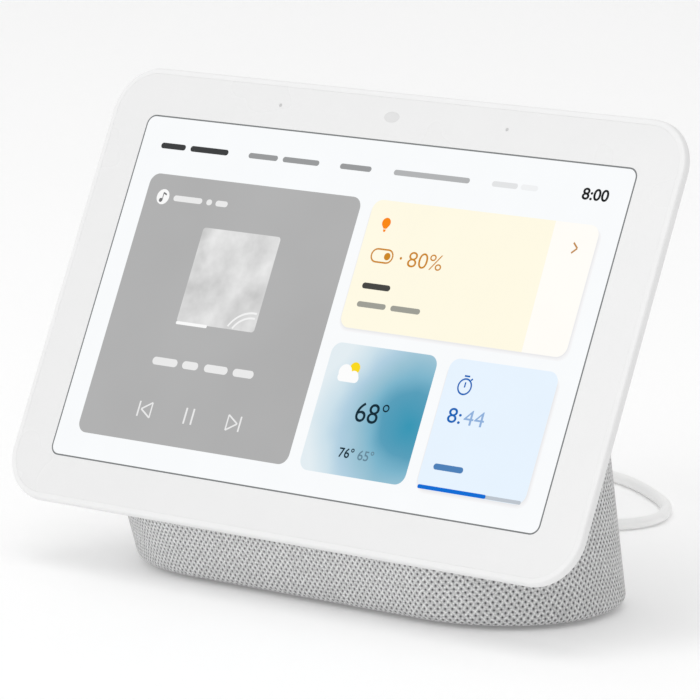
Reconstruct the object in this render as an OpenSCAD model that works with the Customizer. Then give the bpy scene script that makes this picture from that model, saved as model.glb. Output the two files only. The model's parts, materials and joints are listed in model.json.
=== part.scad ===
// A table-top smart display: a leaning touch screen on a fabric-covered speaker base, with its supply lead.
// Millimetres, +Z up. The screen faces -Y. The origin is on the table, in the middle of the device's
// width and depth.

/* [Display head] */
// Width of the display head
head_w = 177.4; // [176.4:0.1:178.4]
// Height of the display head, measured along the glass
head_h = 114.4; // [113.8:0.1:115]
// Thickness of the display head at its flat back
head_t = 13; // [13:0.1:13.6]
// Corner radius of the display head, seen from the front
head_r = 12.5; // [11:0.1:14]
// Lean of the display head back from upright, in degrees
tilt = 25.5; // [25:0.1:26]
// Height of the middle of the glass above the table
head_z = 69.1; // [69:0.1:70]
// Middle of the glass, forward of the middle of the device's depth
head_y = -10.2; // [-10.6:0.1:-10]
// Wall thickness of the rear housing
head_wall = 1.8; // [1.6:0.1:1.9]
// Thickness of the cover glass
glass_t = 1.1; // [0.9:0.1:1.1]
// Width of the liquid crystal panel's outline
lcd_w = 158; // [154:0.5:159]
// Height of the liquid crystal panel's outline
lcd_h = 96; // [92:0.5:96.5]

/* [Controls and sensors] */
// Distance of the front microphones from the middle line
mic_x = 35.2; // [30:0.1:40]
// Height of the microphones and the light sensor above the middle of the glass
mic_v = 50.6; // [50.2:0.1:50.8]
// Radius of a microphone hole in the glass
mic_hole_r = 0.5; // [0.4:0.05:0.6]
// Length of the volume rocker
rocker_l = 24; // [20:0.5:26]
// Travel of the volume rocker each way, in degrees
rocker_swing = 1.5; // [1:0.1:1.5]
// Length of the microphone switch's slider
slider_l = 6.4; // [5.6:0.1:6.6]
// Travel of the microphone switch
slider_travel = 2.4; // [2:0.1:2.6]

/* [Base] */
// Width of the base at the table
base_w = 137.2; // [134:0.1:140]
// Back of the base at the table, from the middle of the depth
base_back = 34.9; // [34.8:0.1:35.1]
// Front of the base at the table, ahead of the middle of the depth
base_front = 23.4; // [22.6:0.1:24]
// Half-length of the base's straight front and back
base_flat = 36; // [34:0.5:38]
// Height at which the base's top starts to round over
shoulder_z = 58; // [56:0.5:60]
// Radius of the rounded top of the base
shoulder_r = 24; // [22:0.5:25]
// Thickness of the knitted cover
fabric_t = 0.9; // [0.7:0.1:1]
// Wall thickness of the base's hard shell
base_wall = 2.2; // [2:0.1:2.4]
// Thickness of the steel ballast
ballast_t = 9; // [6:0.5:10]

/* [Speaker] */
// Height of the speaker's middle above the table
speaker_z = 35; // [34.5:0.5:36]
// Radius of the speaker's frame
speaker_r = 22.6; // [22:0.1:22.8]
// Travel of the cone each way
cone_travel = 1.5; // [1:0.1:1.5]

/* [Supply lead] */
// Diameter of the lead
lead_d = 3; // [2.8:0.1:3.2]
// Height of the supply socket's axis above the table
jack_z = 8.6; // [8.4:0.1:9]
// Turns of the lead in one layer of its coil
coil_columns = 3; // [3:1:3]
// Layers of turns in the coil
coil_layers = 4; // [4:1:4]
// Mean diameter of the coil's turns
coil_d = 33; // [32:0.5:34]

/* [Hidden] */
$fn = 48;
eps = 0.01;

// --- Shapes shared by the sub-parts ---

function signed_pow(c, p) = sign(c) * pow(abs(c), p);

// A solid skinned over a stack of rings, each a list of the same number of points, from the lowest up
module skin(rings) {
    n = len(rings[0]);
    last = (len(rings) - 1) * n;
    points = [for (ring = rings) each ring];
    walls = [for (k = [0:len(rings) - 2]) for (i = [0:n - 1])
        let (a = k * n + i, b = k * n + (i + 1) % n) each [[a, a + n, b + n], [a, b + n, b]]];
    caps = [[for (i = [0:n - 1]) i], [for (i = [n - 1:-1:0]) last + i]];
    polyhedron(points = points, faces = concat(walls, caps), convexity = 6);
}

// A flat rounded rectangle, lying on its middle
module rounded(w, h, r) {
    square([w - 2 * r, h], center = true);
    square([w, h - 2 * r], center = true);
    for (x = [-1, 1], y = [-1, 1]) translate([x * (w / 2 - r), y * (h / 2 - r)]) circle(r);
}

// A rounded slab between two heights
module slab(w, h, r, z0, z1) {
    translate([0, 0, z0]) linear_extrude(z1 - z0) rounded(w, h, r);
}

// A box given by its lowest and highest corners
module box(a, b) {
    translate(a) cube(b - a);
}

// A machine screw with a pan head, its head's underside at z = 0 and its thread running down
module screw(shank_r, shank_l, cap_r, cap_t) {
    translate([0, 0, -shank_l]) cylinder(r = shank_r, h = shank_l + eps);
    difference() {
        cylinder(r = cap_r, h = cap_t);
        translate([0, 0, cap_t * 0.45]) cylinder(r = cap_r * 0.45, h = cap_t, $fn = 6);
    }
}

// A round tube swept along a route, with eight sides and one ring at each of the route's points
function unit(v) = v / norm(v);
function heading(route, i) =
    unit(route[min(i + 1, len(route) - 1)] - route[max(i - 1, 0)]);
function ring_across(p, dir, r) =
    let (side = unit(cross(dir, [0, 0, 1])), up = cross(side, dir))
    [for (k = [0:7]) let (a = 45 * k + 22.5) p + r * (cos(a) * side + sin(a) * up)];
module tube(route, r) {
    skin([for (i = [0:len(route) - 1]) ring_across(route[i], heading(route, i), r)]);
}

// A flat cable of the given thickness that follows a path drawn in the plane, centred on its width
function path_normal(path, i) =
    let (d = unit(path[min(i + 1, len(path) - 1)] - path[max(i - 1, 0)])) [-d[1], d[0]];
module ribbon(path, t, width) {
    n = len(path);
    left = [for (i = [0:n - 1]) path[i] + t / 2 * path_normal(path, i)];
    right = [for (i = [n - 1:-1:0]) path[i] - t / 2 * path_normal(path, i)];
    linear_extrude(width, center = true) polygon(concat(left, right));
}

// --- The display head's own frame: x across, y up the glass, z out of the glass, z = 0 on its face ---

module head() {
    translate([0, head_y, head_z]) rotate([90 - tilt, 0, 0]) children();
}

// Where the picture sits: a little below the middle of the glass
picture_v = -0.4;

// The rounded lip around the glass, and the arc that carries the back from the lip to the flat
lip_w = 1.3;
lip_d = 1.8;
lip_p = 0.77;
back_a0 = 42;
back_arc = (head_t - lip_d) / (1 - sin(back_a0));
function back_inset(a) = back_arc * (cos(back_a0) - cos(a));
function back_depth(a) = lip_d + back_arc * (sin(a) - sin(back_a0));

// A rounded rectangle as a ring of points; the corners open out as the outline shrinks
corner_steps = 10;
function head_ring(inset, depth, r) =
    let (hx = head_w / 2 - inset, hy = head_h / 2 - inset)
    [for (q = [0:3]) for (k = [0:corner_steps])
        let (a = 90 * q + 90 * k / corner_steps)
        let (sx = q == 0 || q == 3 ? 1 : -1, sy = q < 2 ? 1 : -1)
        [sx * (hx - r) + r * cos(a), sy * (hy - r) + r * sin(a), -depth]];

module head_form() {
    back = [for (a = [90:-6:back_a0])
        head_ring(back_inset(a), back_depth(a), head_r + 0.3 * back_inset(a))];
    lip = [for (a = [75:-15:0]) let (inset = lip_w * (1 - pow(sin(a), lip_p)))
        head_ring(inset, lip_d * (1 - pow(cos(a), lip_p)), head_r - inset)];
    skin(concat(back, lip));
}

// The cavity in the rear housing: the back arc moved in by the wall, then straight up to the glass ledge
ledge_inset = 4.3;
ledge_depth = 1.4;
cavity_r = 9;
module head_cavity() {
    back = [for (a = [90:-9:54])
        head_ring(back_inset(a) + head_wall * cos(a), back_depth(a) - head_wall * sin(a), cavity_r)];
    skin(concat(back, [for (d = [3.6, ledge_depth - eps]) head_ring(ledge_inset, d, cavity_r)]));
}
inner_d = head_t - head_wall;

// Where the controls sit on the curved back
control_a = 69;
control_inset = back_inset(control_a);
control_depth = back_depth(control_a);
rocker_v = 14;

// The volume rocker's own frame: x across it, y along it, z out of the housing
module at_rocker() {
    head() translate([head_w / 2 - control_inset, rocker_v, -control_depth])
        rotate([0, 90 + control_a, 0]) children();
}

// The microphone switch's own frame: x along its travel, z out of the housing
module at_slider() {
    head() translate([0, head_h / 2 - control_inset, -control_depth])
        rotate([-90 - control_a, 0, 0]) children();
}

// Screws that hold the middle frame to the rear housing, the head to the base, and the board to the frame
frame_screw_at = [[-70, -42], [70, -42], [-70, 42], [70, 42], [-74, -12], [74, -12]];
neck_screw_at = [for (x = [-18, 18], y = [-29, -4]) [x, y]];
board_screw_at = [for (x = [-51, 41], y = [5, 37]) [x, y]];

// --- Display head, from the front ---

glass_w = head_w - 2 * lip_w - 0.8;
glass_h = head_h - 2 * lip_w - 0.8;
glass_r = head_r - lip_w - 0.4;

module cover_glass() {
    color([0.94, 0.94, 0.95]) head() difference() {
        slab(glass_w, glass_h, glass_r, -glass_t, 0);
        for (x = [-1, 1]) translate([x * mic_x, mic_v, -2]) cylinder(r = mic_hole_r, h = 3);
    }
}

adhesive_d = 1.35;
module glass_adhesive() {
    color([0.15, 0.15, 0.16]) head() difference() {
        slab(glass_w - 0.6, glass_h - 0.6, glass_r - 0.3, -adhesive_d, -glass_t);
        slab(head_w - 2 * ledge_inset, head_h - 2 * ledge_inset, cavity_r, -2, 0);
    }
}

module touch_sensor() {
    color([0.80, 0.84, 0.86]) head() translate([0, picture_v, 0]) {
        slab(lcd_w - 2, lcd_h - 2, 1, -adhesive_d + 0.05, -glass_t);
        translate([48, -lcd_h / 2, 0]) box([-6, -2.4, -adhesive_d + 0.05], [6, 2, -glass_t - 0.05]);
    }
}

lcd_t = 1.2;
lcd_back = adhesive_d + lcd_t;
module lcd_panel() {
    color([0.10, 0.11, 0.13]) head() translate([0, picture_v, 0])
        slab(lcd_w, lcd_h, 0.6, -lcd_back, -adhesive_d);
}

light_t = 2.2;
light_back = lcd_back + light_t;
module backlight() {
    color([0.88, 0.89, 0.90]) head() translate([0, picture_v, 0]) difference() {
        slab(lcd_w, lcd_h, 0.8, -light_back, -lcd_back);
        for (x = [-60:30:60]) translate([x, 30, -light_back - 1]) cylinder(r = 2, h = 1.4);
    }
}

frame_front = 5.6;
frame_t = 0.8;
frame_back = frame_front + frame_t;
board_front = 8.2;
module mid_frame() {
    color([0.62, 0.63, 0.65]) head() difference() {
        union() {
            slab(158, 96.4, 8, -frame_back, -frame_front);
            for (p = board_screw_at) translate([p[0], p[1], -board_front])
                cylinder(r = 2.2, h = board_front - frame_front);
            for (y = [-20, 24]) translate([0, y, 0])
                box([-66, -1, -frame_front - eps], [66, 1, -light_back - 0.05]);
        }
        for (p = frame_screw_at) translate([p[0], p[1], -9]) cylinder(r = 1.2, h = 5);
        for (p = board_screw_at) translate([p[0], p[1], -9]) cylinder(r = 0.8, h = 5);
        // Notches behind the volume rocker and the microphone switch, and a way through for the ribbon
        translate([76, rocker_v, -6]) cube([14, 36, 3], center = true);
        translate([0, 46, -6]) cube([24, 12, 3], center = true);
        translate([-30, -46, -6]) cube([24, 10, 3], center = true);
    }
}

module mid_frame_screws() {
    color([0.75, 0.75, 0.77]) head() for (p = frame_screw_at)
        translate([p[0], p[1], -frame_front]) screw(0.85, 2.2, 1.9, 0.7);
}

board_t = 1;
board_back = board_front + board_t;
module main_board() {
    color([0.07, 0.30, 0.17]) head() difference() {
        union() {
            translate([-5, 20.5, 0]) slab(100, 39, 1.5, -board_back, -board_front);
            // Connectors: display ribbon, base harness, and the radio's coaxial pair
            translate([-30, 4, 0]) box([-9, -2, -board_front - eps], [9, 2, -7]);
            translate([29, 4, 0]) box([-5, -2, -board_back - 1.4], [5, 2, -board_back + eps]);
            for (x = [10, 16]) translate([x, 38, -board_back - 0.8]) cylinder(r = 1.2, h = 0.9);
        }
        for (p = board_screw_at) translate([p[0], p[1], -10]) cylinder(r = 1.1, h = 4);
    }
    color([0.75, 0.75, 0.77]) head() for (p = board_screw_at)
        translate([p[0], p[1], -board_back]) rotate([180, 0, 0]) screw(0.75, 2.6, 1.7, 0.7);
}

// A pressed shield can over part of the main board, open towards the board
module shield(w, h) {
    difference() {
        slab(w, h, 1, -board_front, -board_front + 1.4);
        slab(w - 0.6, h - 0.6, 0.8, -board_front - 1, -board_front + 1.1);
    }
}

module processor_shield() {
    color([0.78, 0.78, 0.80]) head() translate([-28, 23, 0]) shield(30, 26);
}

module radio_shield() {
    color([0.78, 0.78, 0.80]) head() translate([18, 24, 0]) shield(22, 22);
}

pad_t = 0.6;
module thermal_pad() {
    color([0.55, 0.60, 0.68]) head() translate([-28, 23, 0])
        slab(18, 18, 0.5, -board_back - pad_t, -board_back);
}

spreader_front = board_back + pad_t;
module heat_spreader() {
    color([0.80, 0.81, 0.83]) head() difference() {
        translate([-14, 21, 0]) slab(68, 26, 3, -spreader_front - 0.6, -spreader_front);
        for (x = [-40:6.5:12]) translate([x, 13, 0]) slab(2, 6, 0.9, -spreader_front - 2, 0);
    }
}

sensor_v = mic_v - 0.1;
module radar_board() {
    color([0.07, 0.30, 0.17]) head() translate([18, sensor_v, 0]) {
        slab(15, 3.8, 0.4, -3, -2.2);
        slab(6.5, 3.4, 0.2, -2.2, -1.5);
    }
}

module light_sensor_board() {
    color([0.07, 0.30, 0.17]) head() translate([0, sensor_v, 0]) {
        slab(9, 3.8, 0.4, -3, -2.2);
        slab(4.8, 2.8, 0.6, -2.2, -1.5);
    }
}

mic_front = 1.9;
module front_microphone(x) {
    color([0.85, 0.72, 0.40]) head() translate([x, sensor_v, 0]) difference() {
        union() {
            slab(7, 3.8, 0.4, -mic_front - 0.6, -mic_front);
            slab(3.6, 2.6, 0.3, -mic_front - 1.7, -mic_front - 0.6);
        }
        translate([0, mic_v - sensor_v, -mic_front - 0.7]) cylinder(r = 0.4, h = 1);
    }
}

module microphone_left() {
    front_microphone(-mic_x);
}

module microphone_right() {
    front_microphone(mic_x);
}

module microphone_gaskets() {
    color([0.12, 0.12, 0.13]) head() for (x = [-mic_x, mic_x]) translate([x, mic_v, -mic_front])
        difference() {
            cylinder(r = 1.5, h = mic_front - glass_t);
            translate([0, 0, -1]) cylinder(r = 0.7, h = 4);
        }
}

rear_mic_at = [-30, 34];
module rear_microphone() {
    color([0.07, 0.30, 0.17]) head() translate([rear_mic_at[0], rear_mic_at[1] + 9, 0]) difference() {
        union() {
            slab(7, 4.6, 0.4, -8.1, -7.5);
            slab(3.6, 2.8, 0.3, -7.5, -6.5);
        }
        translate([0, 0, -8.2]) cylinder(r = 0.4, h = 1);
    }
}

module antennas() {
    color([0.72, 0.47, 0.20]) head() for (side = [-1, 1])
        translate([side * 56, -12, 0]) slab(10, 28, 1, -inner_d + 0.05, -inner_d + 0.35);
}

// The flat cable from the bottom edge of the screen, round the middle frame, to the main board
module display_ribbon() {
    edge = -lcd_h / 2 + picture_v;
    path = [[edge - 0.05, -3.4], [edge - 1.4, -3.5], [edge - 2, -4.2], [edge - 1.6, -5], [edge + 1, -6.9],
        [edge + 4, -7.4], [-20, -7.5], [1.95, -7.5]];
    color([0.80, 0.50, 0.18]) head() translate([-30, 0, 0]) rotate([90, 0, 90]) ribbon(path, 0.25, 18);
}

slot_gap = 0.4;
rocker_w = 4.6;
slider_w = 3.6;
recess_d = 0.8;
module control_slots() {
    at_rocker() slab(rocker_w + 2 * slot_gap, rocker_l + 2 * slot_gap, rocker_w / 2 + slot_gap - eps, -4, 3);
    at_slider() slab(slider_l + slider_travel + 2, slider_w + 1.2, 2.3, -recess_d, 3);
    at_slider() slab(slider_travel + 3.4, 1.9, 0.9, -4, 3);
}

cable_gap_at = [29, -16];
function post_foot(p) = abs(p[1]) > 40 ? 8.9 : 10.2;
module rear_housing() {
    color([0.93, 0.93, 0.93]) {
        difference() {
            head() head_form();
            head() head_cavity();
            head() slab(glass_w + 0.2, glass_h + 0.2, glass_r + 0.1, -ledge_depth, 1);
            head() for (p = neck_screw_at) translate([p[0], p[1], -20]) cylinder(r = 1.7, h = 12);
            head() translate([cable_gap_at[0], cable_gap_at[1], 0]) slab(14, 8, 1.5, -20, -8);
            head() translate([rear_mic_at[0], rear_mic_at[1] + 9, -16]) cylinder(r = 0.6, h = 10);
            control_slots();
        }
        head() for (p = frame_screw_at) translate([p[0], p[1], -post_foot(p)]) difference() {
            cylinder(r = 2.4, h = post_foot(p) - frame_back);
            translate([0, 0, 0.6]) cylinder(r = 0.9, h = 9);
        }
    }
}

// --- Controls on the back of the head ---

// The slider lies in its recess at one end of its travel, with its stem in the switch below
module mute_slider() {
    rest_x = -slider_travel / 2;
    color([0.86, 0.86, 0.87]) at_slider() translate([rest_x, 0, 0]) {
        slab(slider_l, slider_w, 1.7, -recess_d + 0.1, 0.45);
        for (x = [-1.6:0.8:1.6]) translate([x, 0, 0.6]) cube([0.35, 2.4, 0.5], center = true);
        box([-1.2, -0.6, -2.9], [1.2, 0.6, -recess_d + 0.2]);
    }
}

module mute_switch() {
    color([0.20, 0.20, 0.22]) at_slider() difference() {
        slab(10, 4.4, 0.5, -3.9, -2.1);
        slab(slider_travel + 3.2, 1.8, 0.3, -3.2, 0);
    }
    color([0.07, 0.30, 0.17]) at_slider() slab(13, 4.8, 0.5, -4.6, -3.9);
}

// The rocker turns on a pin across its middle, and each end stands over a dome switch
pin_depth = 2.7;
pin_r = 0.5;
bracket_top = -3.6;
dome_h = 0.6;
dome_at = 9;
dome_gap = dome_at * sin(rocker_swing) + 0.15;
module volume_rocker() {
    color([0.90, 0.90, 0.90]) at_rocker() difference() {
        union() {
            slab(rocker_w, rocker_l, rocker_w / 2 - eps, -1.2, 0.7);
            box([-1.9, -1.4, -3.35], [1.9, 1.4, -1]);
            for (y = [-dome_at, dome_at]) translate([0, y, 0])
                box([-0.8, -0.8, bracket_top + dome_h + dome_gap], [0.8, 0.8, -1]);
        }
        translate([-5, 0, -pin_depth]) rotate([0, 90, 0]) cylinder(r = pin_r + 0.05, h = 10);
    }
}

module rocker_pin() {
    color([0.80, 0.80, 0.82]) at_rocker() translate([-3.3, 0, -pin_depth]) rotate([0, 90, 0])
        cylinder(r = pin_r, h = 6.6);
}

module volume_bracket() {
    color([0.20, 0.20, 0.22]) at_rocker() difference() {
        union() {
            slab(6.6, 28, 0.5, bracket_top - 0.7, bracket_top);
            for (x = [-1, 1]) translate([x * 2.75, 0, 0])
                box([-0.55, -1.2, bracket_top - eps], [0.55, 1.2, -2.05]);
        }
        translate([-5, 0, -pin_depth]) rotate([0, 90, 0]) cylinder(r = pin_r, h = 10);
        for (y = [-dome_at, dome_at]) translate([0, y, -6]) cylinder(r = 1.7, h = 6);
    }
}

module volume_switches() {
    color([0.75, 0.75, 0.77]) at_rocker() for (y = [-dome_at, dome_at]) translate([0, y, bracket_top]) {
        translate([0, 0, -0.7]) cylinder(r = 1.6, h = 0.75);
        translate([0, 0, -eps]) cylinder(r1 = 1.3, r2 = 0.8, h = dome_h);
    }
}

// --- The join between head and base ---

module anchor_plate() {
    color([0.70, 0.71, 0.73]) head() difference() {
        translate([0, -16.5, 0]) slab(42, 31, 3, -inner_d, -inner_d + 1.6);
        for (p = neck_screw_at) translate([p[0], p[1], -20]) cylinder(r = 1.5, h = 20);
        for (x = [-7, 7]) translate([x, -16.5, 0]) slab(8, 20, 2, -20, 0);
    }
}

neck_gap = 0.2;
neck_wall = 2.4;
neck_back = head_t + neck_gap + neck_wall;
module neck_screws() {
    color([0.75, 0.75, 0.77]) head() for (p = neck_screw_at)
        translate([p[0], p[1], -neck_back]) rotate([180, 0, 0]) screw(1.45, 5.9, 2.8, 1.6);
}

// --- Base ---

base_low = 1;
hem_r = 2.5;
side_lean = 0.04;
front_lean = 0.5;
back_lean = 0.15;
middle_lean = 0.14;
base_mid = 4.9;
front_power = 2;
back_power = 2.3;
arc_steps = 10;

// The outline of the base at a height: straight front and back, and rounded ends
function base_ring(z, inset) =
    let (mid = base_mid - middle_lean * z, a = base_w / 2 - side_lean * z - inset - base_flat)
    let (front = mid + base_front + front_lean * z - inset, back = base_back - back_lean * z - inset - mid)
    [for (q = [0:3]) for (k = [0:arc_steps])
        let (t = 90 * q + 90 * k / arc_steps, p = 2 / (q < 2 ? back_power : front_power))
        let (side = q == 0 || q == 3 ? base_flat : -base_flat)
        [side + a * signed_pow(cos(t), p), mid + (q < 2 ? back : front) * signed_pow(sin(t), p), z]];

// The base as a solid, moved in by a skin: rounded hem, straight leaning walls, and a rounded top
module base_form(skin_t) {
    hem = [for (a = [0:22.5:90]) base_ring(base_low + skin_t + hem_r * (1 - cos(a)),
        skin_t + hem_r * (1 - sin(a)))];
    top = [for (a = [0:9:90]) base_ring(shoulder_z + (shoulder_r - skin_t) * sin(a),
        skin_t + shoulder_r * (1 - cos(a)))];
    skin(concat(hem, top));
}

// What the head takes away from the base: the head itself, moved back by a gap, and the space before it
module head_cut(gap) {
    head() translate([0, 0, -gap]) head_form();
    head() box([-130, -130, -lip_d - 0.6 - gap], [130, 130, 90]);
}

// A vertical plug with the base's bottom outline, for the opening in the bottom and what fills it
module bottom_plug(inset, z0, z1) {
    translate([0, 0, z0]) linear_extrude(z1 - z0)
        polygon([for (p = base_ring(0, inset)) [p[0], p[1]]]);
}

// Four posts take the bottom's screws, each tied to the side wall by a rib
plate_post_at = [for (x = [-46, 46], y = [-9, 18]) [x, y]];
post_low = 3.9;
module plate_posts() {
    for (p = plate_post_at) {
        translate([p[0], p[1], post_low]) cylinder(r = 3, h = 10);
        translate([p[0] + sign(p[0]) * 12, p[1], post_low + 4.5]) cube([24, 1.4, 9], center = true);
    }
}

opening_inset = 7.5;
opening_top = 4.8;
module base_cavity() {
    difference() {
        base_form(fabric_t + base_wall);
        head_cut(neck_gap + neck_wall);
        plate_posts();
    }
}

jack_hole_r = 4.15;
module jack_hole(r) {
    translate([0, 24, jack_z]) rotate([-90, 0, 0]) cylinder(r = r, h = 20);
}

module base_housing() {
    color([0.85, 0.85, 0.86]) difference() {
        base_form(fabric_t);
        head_cut(neck_gap);
        base_cavity();
        difference() {
            bottom_plug(opening_inset, -1, opening_top);
            plate_posts();
        }
        for (p = plate_post_at) translate([p[0], p[1], 0]) cylinder(r = 1, h = 12);
        // Slots that let the sound out through the knitted cover
        for (i = [-4:4]) translate([i * 4.6, 28, speaker_z]) cube([2.4, 20, 38 - 1.5 * i * i], center = true);
        jack_hole(jack_hole_r);
        head() for (p = neck_screw_at) translate([p[0], p[1], -20]) cylinder(r = 1.7, h = 12);
        head() translate([cable_gap_at[0], cable_gap_at[1], 0]) slab(14, 8, 1.5, -20, -8);
    }
}

module fabric_sleeve() {
    color([0.78, 0.78, 0.79]) difference() {
        base_form(0);
        base_form(fabric_t);
        head_cut(neck_gap);
        bottom_plug(opening_inset - 0.4, -1, 3);
        jack_hole(jack_hole_r + 0.2);
    }
}

ballast_z = 4.4;
module ballast() {
    color([0.45, 0.46, 0.48]) difference() {
        translate([0, -3.5, ballast_z]) linear_extrude(ballast_t) rounded(76, 29, 4);
        for (x = [-30, 30]) translate([x, -3.5, 0]) cylinder(r = 2, h = 20);
    }
}

plate_low = 1.2;
plate_top = 3.8;
module base_plate() {
    color([0.30, 0.30, 0.31]) difference() {
        union() {
            bottom_plug(opening_inset + 0.3, plate_low, plate_top);
            for (x = [-30, 30]) translate([x, -3.5, plate_top - eps]) cylinder(r = 1.9, h = 6);
            for (x = [-10, 33]) translate([x, 24, plate_top - eps]) cylinder(r = 1.6, h = 0.6);
        }
        for (p = plate_post_at) translate([p[0], p[1], 0]) {
            cylinder(r = 1.3, h = 9);
            cylinder(r = 2.6, h = 2.5);
        }
    }
}

module base_screws() {
    color([0.75, 0.75, 0.77]) for (p = plate_post_at)
        translate([p[0], p[1], 2.5]) rotate([180, 0, 0]) screw(0.95, 8, 2.3, 1.2);
}

module rubber_foot() {
    color([0.55, 0.55, 0.56]) bottom_plug(opening_inset + 1.6, 0, plate_low);
}

// --- Power ---

power_low = plate_top + 0.6;
power_top = power_low + 1.1;
jack_front = 29.7;
jack_back = 16.4;
jack_half = 3.6;
barrel_r = 2.75;
barrel_l = 9;
module power_board() {
    color([0.07, 0.30, 0.17]) {
        box([-14, 14, power_low], [36, 28.5, power_top]);
        translate([29, 24, 0]) box([-5, -2, power_top - eps], [5, 2, power_top + 1.6]);
        for (x = [10, 17]) translate([x, 21, power_top - eps]) cylinder(r = 2.4, h = 3);
    }
}

module dc_jack() {
    color([0.12, 0.12, 0.13]) difference() {
        box([-4.5, jack_back, power_top], [4.5, jack_front, jack_z + jack_half]);
        translate([0, jack_front - barrel_l - 0.6, jack_z]) rotate([-90, 0, 0])
            cylinder(r = barrel_r + 0.1, h = 20);
    }
    color([0.80, 0.80, 0.82]) translate([0, jack_front - barrel_l - 0.7, jack_z]) rotate([-90, 0, 0])
        cylinder(r = 0.95, h = barrel_l - 1);
}

module harness() {
    path = [[21.9, 6.4], [19, 7], [15.5, 10], [12, 16], [8, 25], [3.4, 36], [-0.6, 44], back_point(-16, 15.6),
        back_point(-16, 12.4), back_point(-15, 10.6), back_point(-12, 9.9), back_point(1.95, 9.9)];
    color([0.85, 0.85, 0.86]) translate([29, 0, 0]) rotate([90, 0, 90]) ribbon(path, 0.8, 9);
}
function back_point(v, d) = [head_y + v * sin(tilt) + d * cos(tilt), head_z + v * cos(tilt) - d * sin(tilt)];

// --- Speaker, in its own frame: z out through the back of the base, z = 0 on the frame's front face ---

gasket_t = 1.2;
speaker_y = base_back - back_lean * speaker_z - fabric_t - base_wall - gasket_t - 0.1;
module at_speaker() {
    translate([0, speaker_y, speaker_z]) rotate([-90 + atan(back_lean), 0, 0]) children();
}

roll_r = speaker_r - 4.7;
cone_r = roll_r - 1.8;
basket_deep = 10;
plate_deep = 12.5;
magnet_deep = plate_deep + 4.5 + cone_travel;
yoke_deep = magnet_deep + 2.5;
speaker_screw_at = [for (a = [45:90:315]) (speaker_r - 1.4) * [cos(a), sin(a)]];

module speaker_frame() {
    rim = speaker_r - 3;
    color([0.50, 0.51, 0.53]) at_speaker() difference() {
        rotate_extrude() polygon([[rim, 0], [speaker_r, 0], [speaker_r, -1.2], [rim + 0.2, -1.2],
            [rim - 2.2, -9], [rim - 2.2, -basket_deep], [8, -basket_deep], [8, -9.2],
            [rim - 3.2, -9.2], [rim - 0.2, -1.2], [rim, -1.2]]);
        for (a = [0:90:270]) rotate(a) box([9, -6, -8.2], [30, 6, -2.4]);
        for (p = speaker_screw_at) translate([p[0], p[1], -3]) cylinder(r = 0.8, h = 4);
    }
}

module speaker_screws() {
    color([0.75, 0.75, 0.77]) at_speaker() for (p = speaker_screw_at)
        translate([p[0], p[1], -1.2]) rotate([180, 0, 0]) screw(0.75, 1.1, 1.3, 0.9);
}

module speaker_gasket() {
    color([0.10, 0.10, 0.11]) at_speaker() difference() {
        cylinder(r = speaker_r, h = gasket_t);
        translate([0, 0, -1]) cylinder(r = speaker_r - 3, h = 4);
    }
}

module speaker_surround() {
    outer = 1.65;
    inner = 1.2;
    arc = [for (a = [0:15:180]) outer * [cos(a), sin(a)]];
    back_arc = [for (a = [180:-15:0]) inner * [cos(a), sin(a)]];
    color([0.10, 0.10, 0.11]) at_speaker() rotate_extrude() translate([roll_r, -1])
        polygon(concat(arc, back_arc));
}

coil_inner = 6.5;
coil_outer = 7;
module speaker_cone() {
    color([0.16, 0.16, 0.17]) at_speaker() {
        rotate_extrude() polygon([[coil_outer, -6.3], [cone_r, -1.3], [cone_r + 0.1, -0.8],
            [cone_r - 0.4, -0.8], [coil_outer, -5.7]]);
        rotate_extrude() polygon(concat([for (k = [0:6]) [coil_outer * k / 6, -3.7 - 2 * pow(k / 6, 2)]],
            [for (k = [6:-1:0]) [coil_outer * k / 6, -4.1 - 2.2 * pow(k / 6, 2)]]));
    }
}

module voice_coil() {
    color([0.72, 0.45, 0.20]) at_speaker() translate([0, 0, -15]) difference() {
        cylinder(r = coil_outer, h = 8.6);
        translate([0, 0, -1]) cylinder(r = coil_inner, h = 12);
    }
}

module speaker_spider() {
    first = coil_outer + 0.05;
    last = speaker_r - 6.4;
    steps = 24;
    function wave(k) = -7.9 + 0.35 * cos(360 * 4 * k / steps);
    color([0.75, 0.60, 0.30]) at_speaker() rotate_extrude()
        polygon(concat([for (k = [0:steps]) [first + (last - first) * k / steps, wave(k) + 0.12]],
            [for (k = [steps:-1:0]) [first + (last - first) * k / steps, wave(k) - 0.12]]));
}

module speaker_magnet() {
    color([0.25, 0.25, 0.27]) at_speaker() translate([0, 0, -magnet_deep]) difference() {
        cylinder(r = 15.5, h = magnet_deep - plate_deep);
        translate([0, 0, -1]) cylinder(r = 8.6, h = 20);
    }
}

// The soft-iron parts: the ring on the front of the magnet, and the back plate with its pole
module speaker_yoke() {
    color([0.70, 0.71, 0.73]) at_speaker() {
        translate([0, 0, -plate_deep]) difference() {
            cylinder(r = 14.8, h = plate_deep - basket_deep);
            translate([0, 0, -1]) cylinder(r = 7.5, h = 8);
        }
        translate([0, 0, -yoke_deep]) {
            cylinder(r = 14.8, h = yoke_deep - magnet_deep);
            cylinder(r = 6, h = yoke_deep - basket_deep);
        }
    }
}

module speaker_wires() {
    color([0.70, 0.15, 0.12]) for (side = [-1, 1])
        tube([[side * 6, 16.6, 17.4], [side * 6.2, 14.2, 15], [side * 7, 12.8, 12], [side * 8, 13, 9],
            [side * 9, 14.8, 6.8], [side * 9, 17.4, 6.12]], 0.6);
}

// --- Supply lead, lying on the table behind the base ---

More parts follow.
